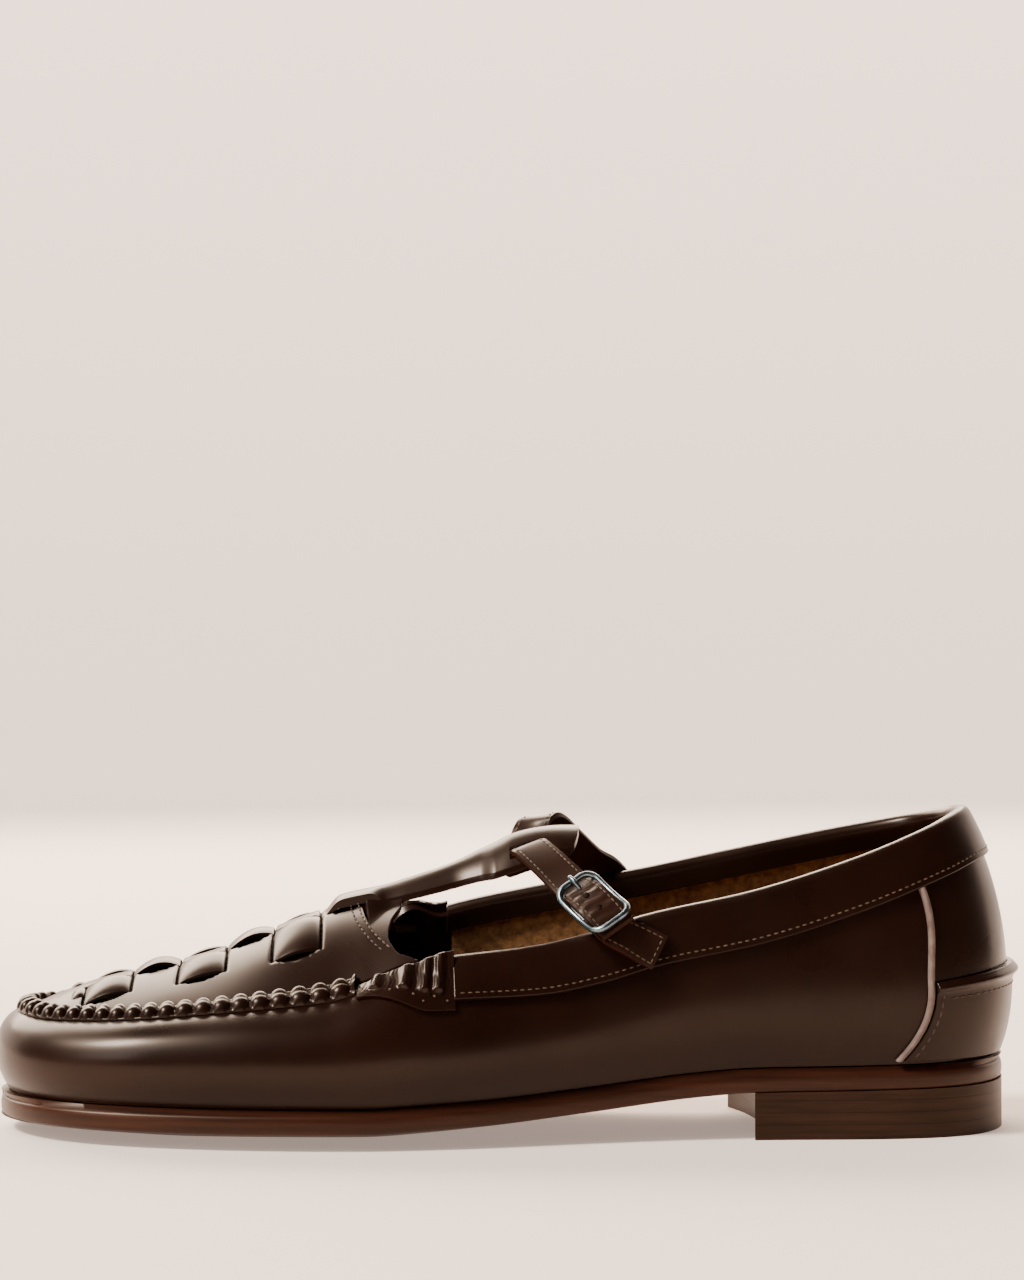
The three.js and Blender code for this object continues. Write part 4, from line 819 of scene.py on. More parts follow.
def make_insole():
    """Sock leather on the turned-in wall: the outline moved in, at two heights."""
    inset = -SOLE_MARGIN - UPPER_WALL - 2 * CLEARANCE

    def face(lift):
        def at(u, v):
            p = across_outline(u, v, inset)
            p[..., 2] += UPPER_WALL + 2 * CLEARANCE + lift
            return p
        return at
    piece = sheet("insole_sock", np.linspace(0.02, 0.98, 120), np.linspace(-1, 1, 31), face(INSOLE_THICKNESS),
                  face(0), [SUEDE], 40)
    return finish_piece(piece, ["insole"], 0.4)


# Apron and its weave
def apron_place(u, v):
    """Place on the apron from its toe to its rear edge and from side to side."""
    rear = ring_angle(apron_rear(v * APRON_HALF * BALL_WIDTH) / SHOE_LENGTH, EDGE_TOE, EDGE_BACK)
    angle = u * rear
    lateral, medial = top_edge(angle), top_edge(TURN - angle)
    half = np.maximum((medial[..., 1] - lateral[..., 1]) / 2 - APRON_INSET * (1 + u * u), 0)
    middle = (medial[..., 1] + lateral[..., 1]) / 2
    return lateral[..., 0] + APRON_INSET * (1 - u), middle + v * half


def weave_middle(x):
    """Centre line of the weave."""
    angle = ring_angle(x / SHOE_LENGTH, EDGE_TOE, EDGE_BACK)
    return (top_edge(angle)[..., 1] + top_edge(TURN - angle)[..., 1]) / 2


def raised_strips():
    """Columns and cells of the strips that stand up: outer columns on even cells, the centre one on odd."""
    return [(-1, 0), (1, 0), (0, 1), (-1, 2), (1, 2), (0, 3), (-1, 4), (1, 4)]


def strip_across(x, v, column, cell):
    """Place across the shoe on a strip, its outer edge spread out more from cell to cell."""
    spread = column * (1 + v * column) * (cell - 2) * STRIP_SPREAD / 2
    return weave_middle(x) + column * COLUMN_SPACING + v * STRIP_WIDTH / 2 + spread


def slit_depth(x, y):
    """Narrow grooves at both ends of each raised strip, and a hollow under it that widens by half a sine."""
    depth = 0 * x
    for column, cell in raised_strips() + [(0, 5)]:
        low, high = strip_across(x, -1, column, cell), strip_across(x, 1, column, cell)
        t = np.clip((x - WEAVE_START) / WEAVE_PITCH - cell, 0, 1)
        bulge = HOLLOW_BULGE * np.sin(math.pi * t) ** 0.8 + 0.2
        under = smooth((y - low + bulge) / 0.5) * smooth((high + bulge - y) / 0.5)
        depth = np.maximum(depth, HOLLOW_DEPTH * under * np.sin(math.pi * t) ** 0.5)
        within = smooth((y - low + 0.9) / 0.6) * smooth((high + 0.9 - y) / 0.6)
        for end in (0, 1):
            groove = WEAVE_START + (cell + end) * WEAVE_PITCH
            depth = np.maximum(depth, GROOVE_DEPTH * within * np.exp(-((x - groove) / GROOVE_HALF) ** 2))
    return depth


def make_apron():
    """Crowned plate, its grid closer towards its sides, with grooves and hollows let into it, painted with
    shade.
    """
    us, reach = np.linspace(0.03, 1, 330), 0.98 * math.pi / 2
    vs = np.sin(np.linspace(-reach, reach, 121)) / math.sin(reach)

    def face(depth, slits):
        def at(u, v):
            x, y = apron_place(u, v)
            return xyz(x, y, apron_height(x, y) - depth - slits * slit_depth(x, y))
        return at
    piece = sheet("apron_leather", us, vs, face(0, 1), face(APRON_THICKNESS, 0), [CALF, PAINTED_SHADE], 50)
    u, v = np.meshgrid((us[:-1] + us[1:]) / 2, (vs[:-1] + vs[1:]) / 2, indexing="ij")
    # Faces in the grooves and hollows take painted shade
    set_faces(piece, 1, slit_depth(*apron_place(u, v)).ravel() > 0.5 * HOLLOW_DEPTH)
    return finish_piece(piece, ["apron"], 0.25)


def strip_grid(u, v, column, cell):
    """Top and underside of a strip: a sine arch cushioned across, the centre ones with a core below.

    A cell below 0 is one of the short tabs at the toe.
    """
    small, centre = cell < 0, column == 0
    start, length, width, height = (0.12, 0.3, 0.5, 0.5) if small else (0.01, 0.98, 1, 1)
    x = WEAVE_START + (cell + start + length * u) * WEAVE_PITCH
    y = strip_across(x, v * width, column, 2 if small else cell)
    arch = np.sin(math.pi * u) ** (0.8 if centre else 0.6)
    y = y + (0 if centre or small else 0.6 * column * np.maximum(column * v, 0) ** 2 * arch)
    cushion = STRIP_CUSHION * (1 - np.abs(v) ** 3)
    rolled = 1 - (0 if centre else 0.22) * np.abs(v) ** 5
    lift = STRIP_RISE * height * arch * rolled - STRIP_SINK + cushion
    core = (STRIP_CORE if centre else 0) * (1 - v ** 4) * arch
    surface = apron_height(x, y)
    top, low = xyz(x, y, surface + lift), xyz(x, y, surface + lift - cushion - STRIP_THICKNESS - core)
    return np.concatenate([top.reshape(-1, 3), low.reshape(-1, 3)])


def make_weave():
    """All raised strips and toe tabs in one piece, their undersides and cut edges painted with shade."""
    us, vs = np.linspace(0, 1, 41), np.sin(np.linspace(-1, 1, 19) * math.pi / 2)
    u, v = np.meshgrid(us, vs, indexing="ij")
    grids = [strip_grid(u, v, column, cell) for column, cell in raised_strips() + TOE_TABS]
    faces = outward(grids[0], sheet_faces(len(us), len(vs)))
    every = (faces[None] + (np.arange(len(grids)) * len(grids[0]))[:, None, None]).reshape(-1, 4)
    piece = put("woven_strips", np.concatenate(grids), every, [CALF, PAINTED_SHADE], 50)
    top_faces = (len(us) - 1) * (len(vs) - 1)
    # Undersides and cut edges of the strips take painted shade
    set_faces(piece, 1, np.tile(np.arange(len(faces)) >= top_faces, len(grids)))
    return finish_piece(piece, (), 0.2)


def make_moc_seam():
    """Raised seam: a half-round ridge gathered into beads, 3.9 mm apart at the toe and wider to its ends."""
    end = edge_angle(SEAM_END)
    us, vs = np.linspace(0, 1, 900), np.linspace(-1, 1, 21)
    u, v = np.meshgrid(us, vs, indexing="ij")
    angle = end * (1 - 2 * u)
    edge = top_edge(angle)
    path = top_edge(end * (1 - 2 * us))
    length = path_length(path)
    ahead = unit(np.cross(np.gradient(path, axis=0), np.array([0, 0, 1.0])))
    middle_of_apron = np.array([60.0, 0, 30])
    flip = np.sign(np.einsum("ij,ij->i", ahead, middle_of_apron - path))
    inward = (ahead * flip[:, None])[:, None]
    level = level_below_edge(angle, np.maximum(-v, 0) * SEAM_WIDTH / 2)
    outside = off_wall(angle, level, np.full_like(v, CLEARANCE))
    inside = edge + inward * (np.maximum(v, 0) * SEAM_WIDTH / 2)[..., None]
    inside[..., 2] = np.maximum(apron_height(inside[..., 0], inside[..., 1]), edge[..., 2]) + CLEARANCE
    base = np.where((v < 0)[..., None], outside, inside)
    up = unit(wall_normal(angle, 1 + 0 * angle) * 0.5 + np.array([0, 0, 0.5]))
    half = length[-1] / 2
    from_toe = np.abs(length - half)[:, None] + 0.5 * v
    phase = half / BEAD_GROWTH * np.log(1 + BEAD_GROWTH * from_toe / (BEAD_PITCH * half))
    along = 2 * np.mod(phase, 1) - 1
    bead = np.sqrt(np.maximum(1 - 0.92 * v * v - 0.9 * along * along, 0))
    height = 0.2 + 0.35 * np.sqrt(np.maximum(1 - v * v, 0)) + SEAM_HEIGHT * bead
    top = base + up * height[..., None]
    points = np.concatenate([top.reshape(-1, 3), (base - up * 0.1).reshape(-1, 3)])
    faces = outward(points, sheet_faces(len(us), len(vs)))
    piece = put("moc_seam_beads", points, faces, [CALF], 60)
    return finish_piece(piece, ["moc_seam"])


# Collar, tabs, counter and piping
def collar_angle(u):
    """Angle along the collar from the lateral tab round the heel to the medial one."""
    start = edge_angle(BAND_START)
    return start + (TURN - 2 * start) * u


def make_collar_band():
    """A fold over the wall's edge: outer leg, a half round over the top, inner leg; its cut edges take
    painted shade.
    """
    us = np.linspace(0, 1, 420)
    outer = np.linspace(1, 0, 14)
    arch = np.linspace(0, math.pi, 11)[1:-1]
    inner = np.linspace(0, 1, 10)
    columns = len(outer) + len(arch) + len(inner)

    def face(out):
        angle = collar_angle(us)[:, None]
        low = off_wall(angle + 0 * outer, level_below_edge(angle, outer * BAND_DEPTH),
                       np.full((1, len(outer)), out))
        lining = off_wall(angle + 0 * inner, level_below_edge(angle, inner * LINING_DEPTH),
                          np.full((1, len(inner)), -UPPER_WALL - out))
        edge, normal = wall(angle, 1 + 0 * angle), wall_normal(angle, 1 + 0 * angle)
        rise = unit(edge - wall(angle, 0.98 + 0 * angle))
        middle = edge - normal * UPPER_WALL / 2
        radius = UPPER_WALL / 2 + out
        over = middle + radius * (np.cos(arch)[None, :, None] * normal + np.sin(arch)[None, :, None] * rise)
        return np.concatenate([low, over, lining], 1)
    points = np.concatenate([face(CLEARANCE + BAND_THICKNESS).reshape(-1, 3), face(SEAT_GAP).reshape(-1, 3)])
    faces = outward(points, sheet_faces(len(us), columns))
    piece = put("collar_band_leather", points, faces, [CALF, PAINTED_SHADE], 50)
    # The cut edges take painted shade, which hides the light line of their rounding
    set_faces(piece, 1, np.arange(len(faces)) >= 2 * (len(us) - 1) * (columns - 1))
    return finish_piece(piece, ["collar_band"], 0.3)


def far_stand(angle):
    """Extra height of the medial edge where its tab is pulled up: a smooth hump between the tab's ends."""
    along = EDGE_TOE + share_of(angle) * (EDGE_BACK - EDGE_TOE)
    u = (along - TAB_START) / (TAB_END - TAB_START)
    hump = smooth((u - 0.2) / 0.25) * (1 - smooth((u - 0.55) / 0.45))
    return np.where(np.mod(angle, TURN) > math.pi, FAR_TAB_STAND * hump, 0)


def make_tab(medial):
    """Gathered patch, deeper to its cut rear edge: puffs between pulled threads, flat below its holes."""
    start, end = edge_angle(TAB_START), edge_angle(TAB_END + TAB_LAP)
    us, vs = np.linspace(0, 1, 170), np.linspace(0, 1, 60)
    flat, seated = 1.0, 0.1

    def depth_at(u):
        return TAB_FRONT_DEPTH + (TAB_REAR_DEPTH - TAB_FRONT_DEPTH) * smooth(u * 1.3)

    def face(out):
        def at(u, v):
            angle = on_side(start + (end - start) * u, medial)
            lean = u + 0.05 * (1 - v)
            fold = sum(np.exp(-np.abs((lean - place) / FOLD_HALF) ** 2.5) for place in TAB_FOLDS)
            wrinkle = np.sin(150 * lean + 3 * np.sin(9 * v)) + 0.6 * np.sin(83 * lean - 5 * v)
            gather = smooth((v - 0.3) / 0.12) * smooth((1.04 - v) / 0.1)
            puff = 0.25 * np.sin(math.pi * np.clip(u * 1.1, 0, 1))
            high = flat + puff + gather * ((out - flat - 0.4) * fold + 0.03 * wrinkle)
            thickness = high if out > seated else seated + 0 * u
            point = off_wall(angle, level_below_edge(angle, depth_at(u) * (1 - v)), thickness)
            point[..., 2] += TAB_STAND * smooth(2 * u - 1) * smooth(3 * v - 2)
            point[..., 2] += far_stand(angle) * smooth((v - 0.2) / 0.8)
            return point
        return at
    side = "medial" if medial else "lateral"
    piece = sheet("gathered_tab_" + side, us, vs, face(CLEARANCE + TAB_THICKNESS), face(seated), [CALF], 60)
    finish_piece(piece, ["tab_" + side], 0.3)
    # Each row: its height as a share of the tab's depth, places along it, size in mm, thread or hole; a hole
    # is a dark spot of painted shade
    for row, shares, size, thread in ((0.31, np.array([0.3, 0.53, 0.74, 0.86]), (1.7, 1.3, 0.5), PAINTED_SHADE),
                                      (0.27, np.array([0.35, 0.58, 0.79]), (0.8, 0.7, 0.8), TAN_THREAD),
                                      (0.17, np.array([0.68, 0.92]), (0.7, 0.6, 0.6), TAN_THREAD)):
        hole = thread is PAINTED_SHADE
        angle = on_side(start + (end - start) * shares, medial)
        level = level_below_edge(angle, depth_at(shares) * (1 - row))
        place = off_wall(angle, level, np.full(shares.shape, flat if hole else flat + 0.25))
        ahead = unit(off_wall(angle + 0.01, level, np.ones(shares.shape)) - place)
        name = "tab_%s_%s_%d" % ("holes" if hole else "knots", side, int(row * 100))
        finish_piece(stitches(name, place, wall_normal(angle, level), ahead, *size, [thread]))


PIPING_LEVELS = (0.03, 0.42, 0.8)


def piping_angle(level):
    """Angle of the piping's line: a quarter sine up to its knee, then a smooth step to the band."""
    foot, knee, top = PIPING_LEVELS
    low = float(angle_at(PIPING_FOOT, np.array(foot)))
    middle = float(angle_at(PIPING_KNEE, np.array(knee)))
    high = float(angle_at(PIPING_TOP, np.array(top)))
    below = low + (middle - low) * np.sin(math.pi / 2 * np.clip((level - foot) / (knee - foot), 0, 1))
    above = middle + (high - middle) * smooth((level - knee) / (top - knee))
    return np.where(level < knee, below, above)


def angle_for_gap(level, gap):
    """Angle that spans a distance along the wall at the piping."""
    at, step = piping_angle(level), 0.5e-3
    span = np.linalg.norm(wall(at + step, level) - wall(at - step, level), axis=-1)
    return gap / (span / (2 * step))


def counter_top():
    """Level of the counter's top edge at the back of the heel."""
    return float(level_at_height(np.array(math.pi), COUNTER_HEIGHT))


def make_counter():
    """Back piece on the wall with a rolled ridge along its top edge."""
    us = np.linspace(0, 1, 220)
    vs = np.concatenate([np.linspace(0, 0.8, 16), np.linspace(0.81, 1, 22)])
    top_level = counter_top()

    def face(out, rolled):
        def at(u, v):
            level = PIPING_LEVELS[0] + (top_level - PIPING_LEVELS[0]) * v
            start = piping_angle(level) + angle_for_gap(level, PIPING_WIDTH / 2 + CLEARANCE)
            angle = start + (TURN - 2 * start) * u
            roll = RIDGE_ROLL * np.exp(-(((v - 0.93) / 0.05) ** 2)) * rolled
            return off_wall(angle, level, out + roll)
        return at
    piece = sheet("heel_counter_leather", us, vs, face(CLEARANCE + COUNTER_THICKNESS, 1), face(SEAT_GAP, 0),
                  [CALF], 60)
    return finish_piece(piece, ["heel_counter"], 0.25)


def make_piping(medial):
    """Raw-edged strip up the side of the heel."""
    high = float(level_below_edge(np.array(edge_angle(PIPING_TOP)), BAND_DEPTH + CLEARANCE))
    us, vs = np.linspace(0, 1, 120), np.linspace(-1, 1, 9)

    def face(out, crown):
        def at(u, v):
            level = PIPING_LEVELS[0] + (high - PIPING_LEVELS[0]) * u
            angle = on_side(piping_angle(level) + angle_for_gap(level, v * PIPING_WIDTH / 2), medial)
            return off_wall(angle, level, out - crown * 0.5 * v * v)
        return at
    side = "medial" if medial else "lateral"
    piece = sheet("piping_strip_" + side, us, vs, face(CLEARANCE + PIPING_THICKNESS, 1), face(SEAT_GAP, 0),
                  [PALE], 60)
    return finish_piece(piece, ["piping_" + side])


# T-bar
def make_t_bar_base():
    """Crescent under the apron's rear edge that climbs to the neck behind it: two heights over one grid."""
    def face(delay, lift):
        def at(u, v):
            y = v * TBAR_BASE_HALF * BALL_WIDTH
            front = apron_rear(y) - TBAR_TUCK
            rear = read(THROAT_EDGE, "along", np.abs(y) / BALL_WIDTH, "across") * SHOE_LENGTH
            x = front + (rear - front) * u
            return xyz(x, y, base_height(x, y, delay) + lift)
        return at
    us = np.concatenate([np.linspace(0, 0.5, 6), np.linspace(0.52, 1, 40)])
    piece = sheet("t_bar_base", us, np.linspace(-1, 1, 161), face(0, 0), face(1, -TBAR_THICKNESS),
                  [CALF], 50)
    return finish_piece(piece, (), 0.3)


def make_t_bar():
    """Tongue, neck and paddle in one leather, with two slits for the strap and a rounded end."""
    start, end, inner_row, straight = TBAR_START * SHOE_LENGTH, TBAR_END * SHOE_LENGTH, 0.6, 0.86
    us = np.concatenate([np.linspace(0, straight, 170),
                         straight + (1 - straight) * np.sin(np.linspace(0.03, 1, 40) * math.pi / 2)])
    half_rows = np.concatenate([np.linspace(0, inner_row, 13), np.linspace(inner_row, 1, 18)[1:]])
    vs = np.concatenate([-half_rows[::-1], half_rows[1:]])
    u, v = np.meshgrid(us, vs, indexing="ij")
    x = start + (end - start) * u
    past = np.maximum(0, (x - end + PADDLE_ROUNDING) / PADDLE_ROUNDING)
    half = read(TBAR_CROWN, "half", x / SHOE_LENGTH) * PADDLE_HALF * np.sqrt(np.maximum(0.02, 1 - past ** 2))
    inner = np.minimum(SLIT_INNER, 0.62 * half)
    size = np.abs(v)
    y = np.sign(v) * np.where(size <= inner_row, inner * size / inner_row,
                              inner + (half - inner) * (size - inner_row) / (1 - inner_row))
    dip = TIP_DIP * np.exp(-((x - start) / TIP_DIP_RUN) ** 2)
    # A keel under the tongue keeps its front from being seen through
    keel = KEEL_DEPTH * smooth((x - start - 1.5) / 4) * (1 - smooth((x - KEEL_END * SHOE_LENGTH) / 4))
    top = xyz(x, y, bar_height(x, y) - dip)
    low = xyz(x, y, bar_height(x, y) - dip - TBAR_THICKNESS - keel * (1 - 0.75 * v * v))
    cell_x = (top[:-1, :-1, 0] + top[1:, 1:, 0]) / 2 - STRAP_CROSSING * SHOE_LENGTH
    cell_y = np.abs(top[:-1, :-1, 1] + top[1:, 1:, 1]) / 2
    slit = ((cell_x > -SLIT_AHEAD) & (cell_x < SLIT_BEHIND)
            & (cell_y > SLIT_INNER) & (cell_y < SLIT_INNER + SLIT_WIDTH))
    points = np.concatenate([top.reshape(-1, 3), low.reshape(-1, 3)])
    faces = open_sheet(len(us), len(vs), ~slit)
    piece = put("t_bar_leather", points, outward(points, faces), [CALF], 50)
    return finish_piece(piece, ["t_bar"], 0.3)


def open_sheet(rows, columns, kept):
    """Quads of two stacked grids where cells are kept, with walls round every border and hole."""
    layer = rows * columns
    top = grid_faces(rows, columns)[kept.ravel()]
    edges = np.concatenate([top[:, [0, 1]], top[:, [1, 2]], top[:, [2, 3]], top[:, [3, 0]]])
    key = np.sort(edges, axis=1)
    code = key[:, 0] * layer + key[:, 1]
    first, count = np.unique(code, return_index=True, return_counts=True)[1:]
    rim = edges[first[count == 1]]
    sides = np.stack([rim[:, 1], rim[:, 0], rim[:, 0] + layer, rim[:, 1] + layer], -1)
    return np.concatenate([top, top[:, ::-1] + layer, sides])


# Straps and buckle
def place_of(row):
    """A place from shares of the shoe's length, width and instep height."""
    return np.array([row[0] * SHOE_LENGTH, row[1] * BALL_WIDTH, row[2] * INSTEP_HEIGHT])


def facing_of(point):
    """Outward direction over the instep."""
    rise = point[2] - INSTEP_AXIS_HEIGHT
    return unit(np.array([-INSTEP_TILT * rise, point[1], rise]))


def collar_station(along, drop, out, medial):
    """A strap's place and normal outside the collar."""
    angle = np.array(on_side(edge_angle(along), medial))
    level = level_below_edge(angle, np.array(float(drop)))
    return off_wall(angle, level, np.array(float(out))), wall_normal(angle, level)


# The buckle's own frame: its centre, three directions, and heights out from it in millimetres
ON_BAND = 2 * CLEARANCE + BAND_THICKNESS + STRAP_THICKNESS / 2
BUCKLE_CENTRE = place_of(BUCKLE_PLACE)
DOWN = unit(BUCKLE_CENTRE - place_of(STRAP_BELOW_SLIT))
OUT = unit(facing_of(BUCKLE_CENTRE) - DOWN * (facing_of(BUCKLE_CENTRE) @ DOWN))
ACROSS = np.cross(DOWN, OUT)
SLEEVE_INNER = BAR_WIRE / 2 + CLEARANCE
SLEEVE_WALL = 0.9
SLEEVE_OUTER = SLEEVE_INNER + SLEEVE_WALL
BAR_LIFT = -1.2
FRAME_LIFT = 0.2
HUMP_LIFT = BAR_LIFT + SLEEVE_OUTER + CLEARANCE + STRAP_THICKNESS / 2
DIP_LIFT = -0.5
SIDE_LIFT = DIP_LIFT + STRAP_THICKNESS / 2 + 2 * CLEARANCE + BUCKLE_WIRE / 2
ANCHOR_LIFT = DIP_LIFT - STRAP_THICKNESS - CLEARANCE
SIDE_PLACE = (BUCKLE_LENGTH - BUCKLE_WIRE) / 2


def buckle(along, side, lift):
    """Places in the buckle's own frame: along the strap, across it and out from it."""
    along, side, lift = np.broadcast_arrays(along, side, lift)
    return BUCKLE_CENTRE + along[..., None] * DOWN + side[..., None] * ACROSS + lift[..., None] * OUT


def buckle_station(along, lift):
    """The strap's place and normal in the middle of the buckle."""
    return buckle(along, 0, lift), OUT


def under_bar(across, lean=None):
    """The strap's place under the T-bar's crown."""
    x = STRAP_CROSSING * SHOE_LENGTH
    flat = min(abs(across), SLIT_INNER - CLEARANCE)
    under = TBAR_THICKNESS + CLEARANCE + STRAP_THICKNESS / 2 + STRAP_PLAY
    return free_station(np.array([x, across, float(bar_height(np.array(x), np.array(flat))) - under]), lean)


def out_of_slit(behind, across, lift):
    """The strap's place near the slit, lifted off the T-bar's outer surface."""
    x = STRAP_CROSSING * SHOE_LENGTH + behind
    return free_station(np.array([x, across, float(bar_height(np.array(x), np.array(across))) + lift]))


def free_station(point, lean=None):
    """A station with its normal given by its run to the side over its rise, or facing out."""
    return point, facing_of(point) if lean is None else unit(np.array([-INSTEP_TILT, lean, 1]))


def catmull(values, t):
    """Uniform Catmull-Rom through rows of values, its end rows mirrored."""
    padded = np.concatenate([2 * values[:1] - values[1:2], values, 2 * values[-1:] - values[-2:-1]])
    at = np.clip(t, 0, 1) * (len(values) - 1)
    i = np.clip(at.astype(int), 0, len(values) - 2)
    w = (at - i)[:, None]
    p0, p1, p2, p3 = (padded[i + k] for k in range(4))
    return hermite(w, p1, p2, (p2 - p0) / 2, (p3 - p1) / 2)


def strap_path(stations, count):
    """Centre line, width direction and normal along a strap."""
    t = np.linspace(0, 1, count)
    path = catmull(np.array([s[0] for s in stations]), t)
    facing = catmull(np.array([s[1] for s in stations]), t)
    tangent = unit(np.gradient(path, axis=0))
    across = unit(np.cross(tangent, facing))
    return path, across, unit(np.cross(across, tangent))


TAIL_LENGTH = 1
CREASE_HEIGHT = 0.2
STITCH_ASIDE = STRAP_WIDTH / 2 - 1.1
STITCH_LIFT = STRAP_THICKNESS / 2 * 0.94
INSTEP_STATIONS = [
    collar_station(ANCHOR_END, STRAP_SEWN_DEPTH, ON_BAND, True),
    collar_station(0.632, 0.6 * STRAP_SEWN_DEPTH, ON_BAND, True),
    collar_station(COLLAR_CROSSING + 0.008, 0.2 * STRAP_SEWN_DEPTH, ON_BAND + CLEARANCE, True),
    *[free_station(place_of(row), row[3]) for row in STRAP_FAR_ARCH],
    under_bar(SLIT_INNER + 1.4, -0.8), under_bar(SLIT_INNER / 2), under_bar(0), under_bar(-SLIT_INNER / 2),
    out_of_slit(0.2, -SLIT_INNER + 0.6, -2.2), out_of_slit(1.2, -SLIT_INNER - 2.4, 0.7),
    free_station(place_of(STRAP_BELOW_SLIT)),
    buckle_station(-SIDE_PLACE, DIP_LIFT), buckle_station(-SIDE_PLACE / 2, (DIP_LIFT + HUMP_LIFT) / 2 + 0.5),
    buckle_station(0, HUMP_LIFT), buckle_station(SIDE_PLACE / 2, (DIP_LIFT + HUMP_LIFT) / 2 + 0.5),
    buckle_station(SIDE_PLACE, DIP_LIFT), buckle_station(SIDE_PLACE + TAIL_LENGTH, DIP_LIFT)]
SEWN_END = collar_station(ANCHOR_END, ANCHOR_SEWN_DEPTH, ON_BAND, False)
LOOSE_END = buckle_station(SIDE_PLACE, ANCHOR_LIFT)
ANCHOR_STATIONS = [
    SEWN_END, ((SEWN_END[0] + LOOSE_END[0]) / 2, unit(SEWN_END[1] + LOOSE_END[1])), LOOSE_END,
    buckle_station(SIDE_PLACE / 2, ANCHOR_LIFT),
    buckle_station(1.2, BAR_LIFT - (SLEEVE_INNER + SLEEVE_OUTER) / 2)]


def make_strap(name, stations, count, nodes):
    """A flat strap: its width carried along the path, crowned by a fourth power, creased at the buckle."""
    path, across, normal = strap_path(stations, count)
    vs = np.array([-1, -0.93, -0.8, -0.6, -0.3, 0, 0.3, 0.6, 0.8, 0.93, 1])

    def face(side):
        v = vs[None, :, None]
        lift = side * STRAP_THICKNESS / 2 * (1 - 0.22 * (v ** 4 if side > 0 else 0 * v))
        at = path[:, None] + v * across[:, None] * STRAP_WIDTH / 2
        down, aside = (at - BUCKLE_CENTRE) @ DOWN, (at - BUCKLE_CENTRE) @ ACROSS
        near = np.exp(-(down / 6.5) ** 4) * (np.linalg.norm(at - BUCKLE_CENTRE, axis=-1) < 12)
        crease = CREASE_HEIGHT * near * np.sin(2.1 * down + 1.2 * np.sin(0.9 * aside)) * np.cos(0.35 * aside)
        return at + (lift + (crease * (side > 0))[..., None]) * normal[:, None]
    points = np.concatenate([face(1).reshape(-1, 3), face(-1).reshape(-1, 3)])
    faces = outward(points, sheet_faces(count, len(vs)))
    piece = put(name, points, faces, [STRAP, CUT], 50)
    top_faces = (count - 1) * (len(vs) - 1)
    set_faces(piece, 1, np.arange(len(faces)) >= top_faces)
    finish_piece(piece, nodes, 0.25)
    return path, across, normal


def strap_row(name, points, normal, thread):
    """A row of 1.25 mm stitches on a strap, one every 1.7 mm."""
    place, forward, at, length = evenly(points, 1.7)
    out = unit(along_path(at, length, normal))
    finish_piece(stitches(name, place, out, forward, 1.25, 0.42, 0.36, [thread]))


def strap_stitches(name, line, start, stop, thread):
    """A row of stitches 1.1 mm inside each edge of a strap."""
    path, across, normal = line
    part = slice(int(start * (len(path) - 1)), int(stop * (len(path) - 1)))
    for side, word in ((-1, "front"), (1, "rear")):
        row = path + side * across * STITCH_ASIDE + normal * STITCH_LIFT
        strap_row(name + "_" + word, row[part], normal[part], thread)


def cross_stitches(name, line, share, thread):
    """A row of stitches straight across a strap, where it is sewn down."""
    path, across, normal = line
    i = int(share * (len(path) - 1))
    row = path[i] + np.linspace(-1, 1, 30)[:, None] * STITCH_ASIDE * across[i] + normal[i] * STITCH_LIFT
    strap_row(name, row, np.tile(normal[i], (30, 1)), thread)


def make_buckle():
    """Bent wire: a rounded rectangle whose cross sides are lifted over the strap, and its bar and prong."""
    long, wide, corner = SIDE_PLACE, (BUCKLE_WIDTH - BUCKLE_WIRE) / 2, 3.2
    quarter = np.linspace(0, math.pi / 2, 14)
    turns = ((1, 1), (-1, 1), (-1, -1), (1, -1))
    centres = [np.array([sx * (long - corner), sy * (wide - corner)]) for sx, sy in turns]
    bends = []
    for k, centre in enumerate(centres):
        a = quarter + k * math.pi / 2
        bends.append(centre + corner * np.stack([np.cos(a), np.sin(a)], -1))
    parts = []
    for bend, ahead in zip(bends, bends[1:] + bends[:1]):
        parts += [bend, bend[-1] + (ahead[0] - bend[-1]) * np.linspace(0, 1, 10)[1:-1, None]]
    flat = np.concatenate(parts)
    lift = FRAME_LIFT + (SIDE_LIFT - FRAME_LIFT) * (flat[:, 0] / long) ** 2
    path = buckle(flat[:, 0], flat[:, 1], lift)
    frame_wire = tube("buckle_wire", path, BUCKLE_WIRE / 2, 16, [STEEL], OUT, True)
    finish_piece(frame_wire, ["buckle_frame"])
    bar = buckle(0, np.linspace(-wide, wide, 12), BAR_LIFT)
    finish_piece(tube("buckle_bar", bar, BAR_WIRE / 2, 14, [STEEL], OUT))
    # The prong comes up through the strap's last hole and lies over the frame's far side
    over = SIDE_LIFT + BUCKLE_WIRE / 2 + PRONG_WIRE / 2
    along = np.array([-5.6, -6.2, -7.4, -SIDE_PLACE, -SIDE_PLACE - 1])
    lifts = np.array([0.7, 1.9, over - 0.2, over, over - 0.4])
    t = np.linspace(0, 1, 40)
    taper = np.where(t > 0.9, 1 - 5 * (t - 0.9), 1)
    path = catmull(buckle(along, 0, lifts), t)
    prong = tube("buckle_prong_wire", path, PRONG_WIRE / 2, 14, [STEEL], ACROSS, taper=taper)
    finish_piece(prong, ["buckle_prong"])
    # Two dark spots of painted shade stand for the strap's holes
    spots = buckle(np.array([-2.2, 3.2]), 0.3, np.array([2.5, 2.2]))
    out, down = np.tile(OUT, (2, 1)), np.tile(DOWN, (2, 1))
    finish_piece(stitches("strap_hole_shade", spots, out, down, 1.9, 1.9, 0.5, [PAINTED_SHADE]))


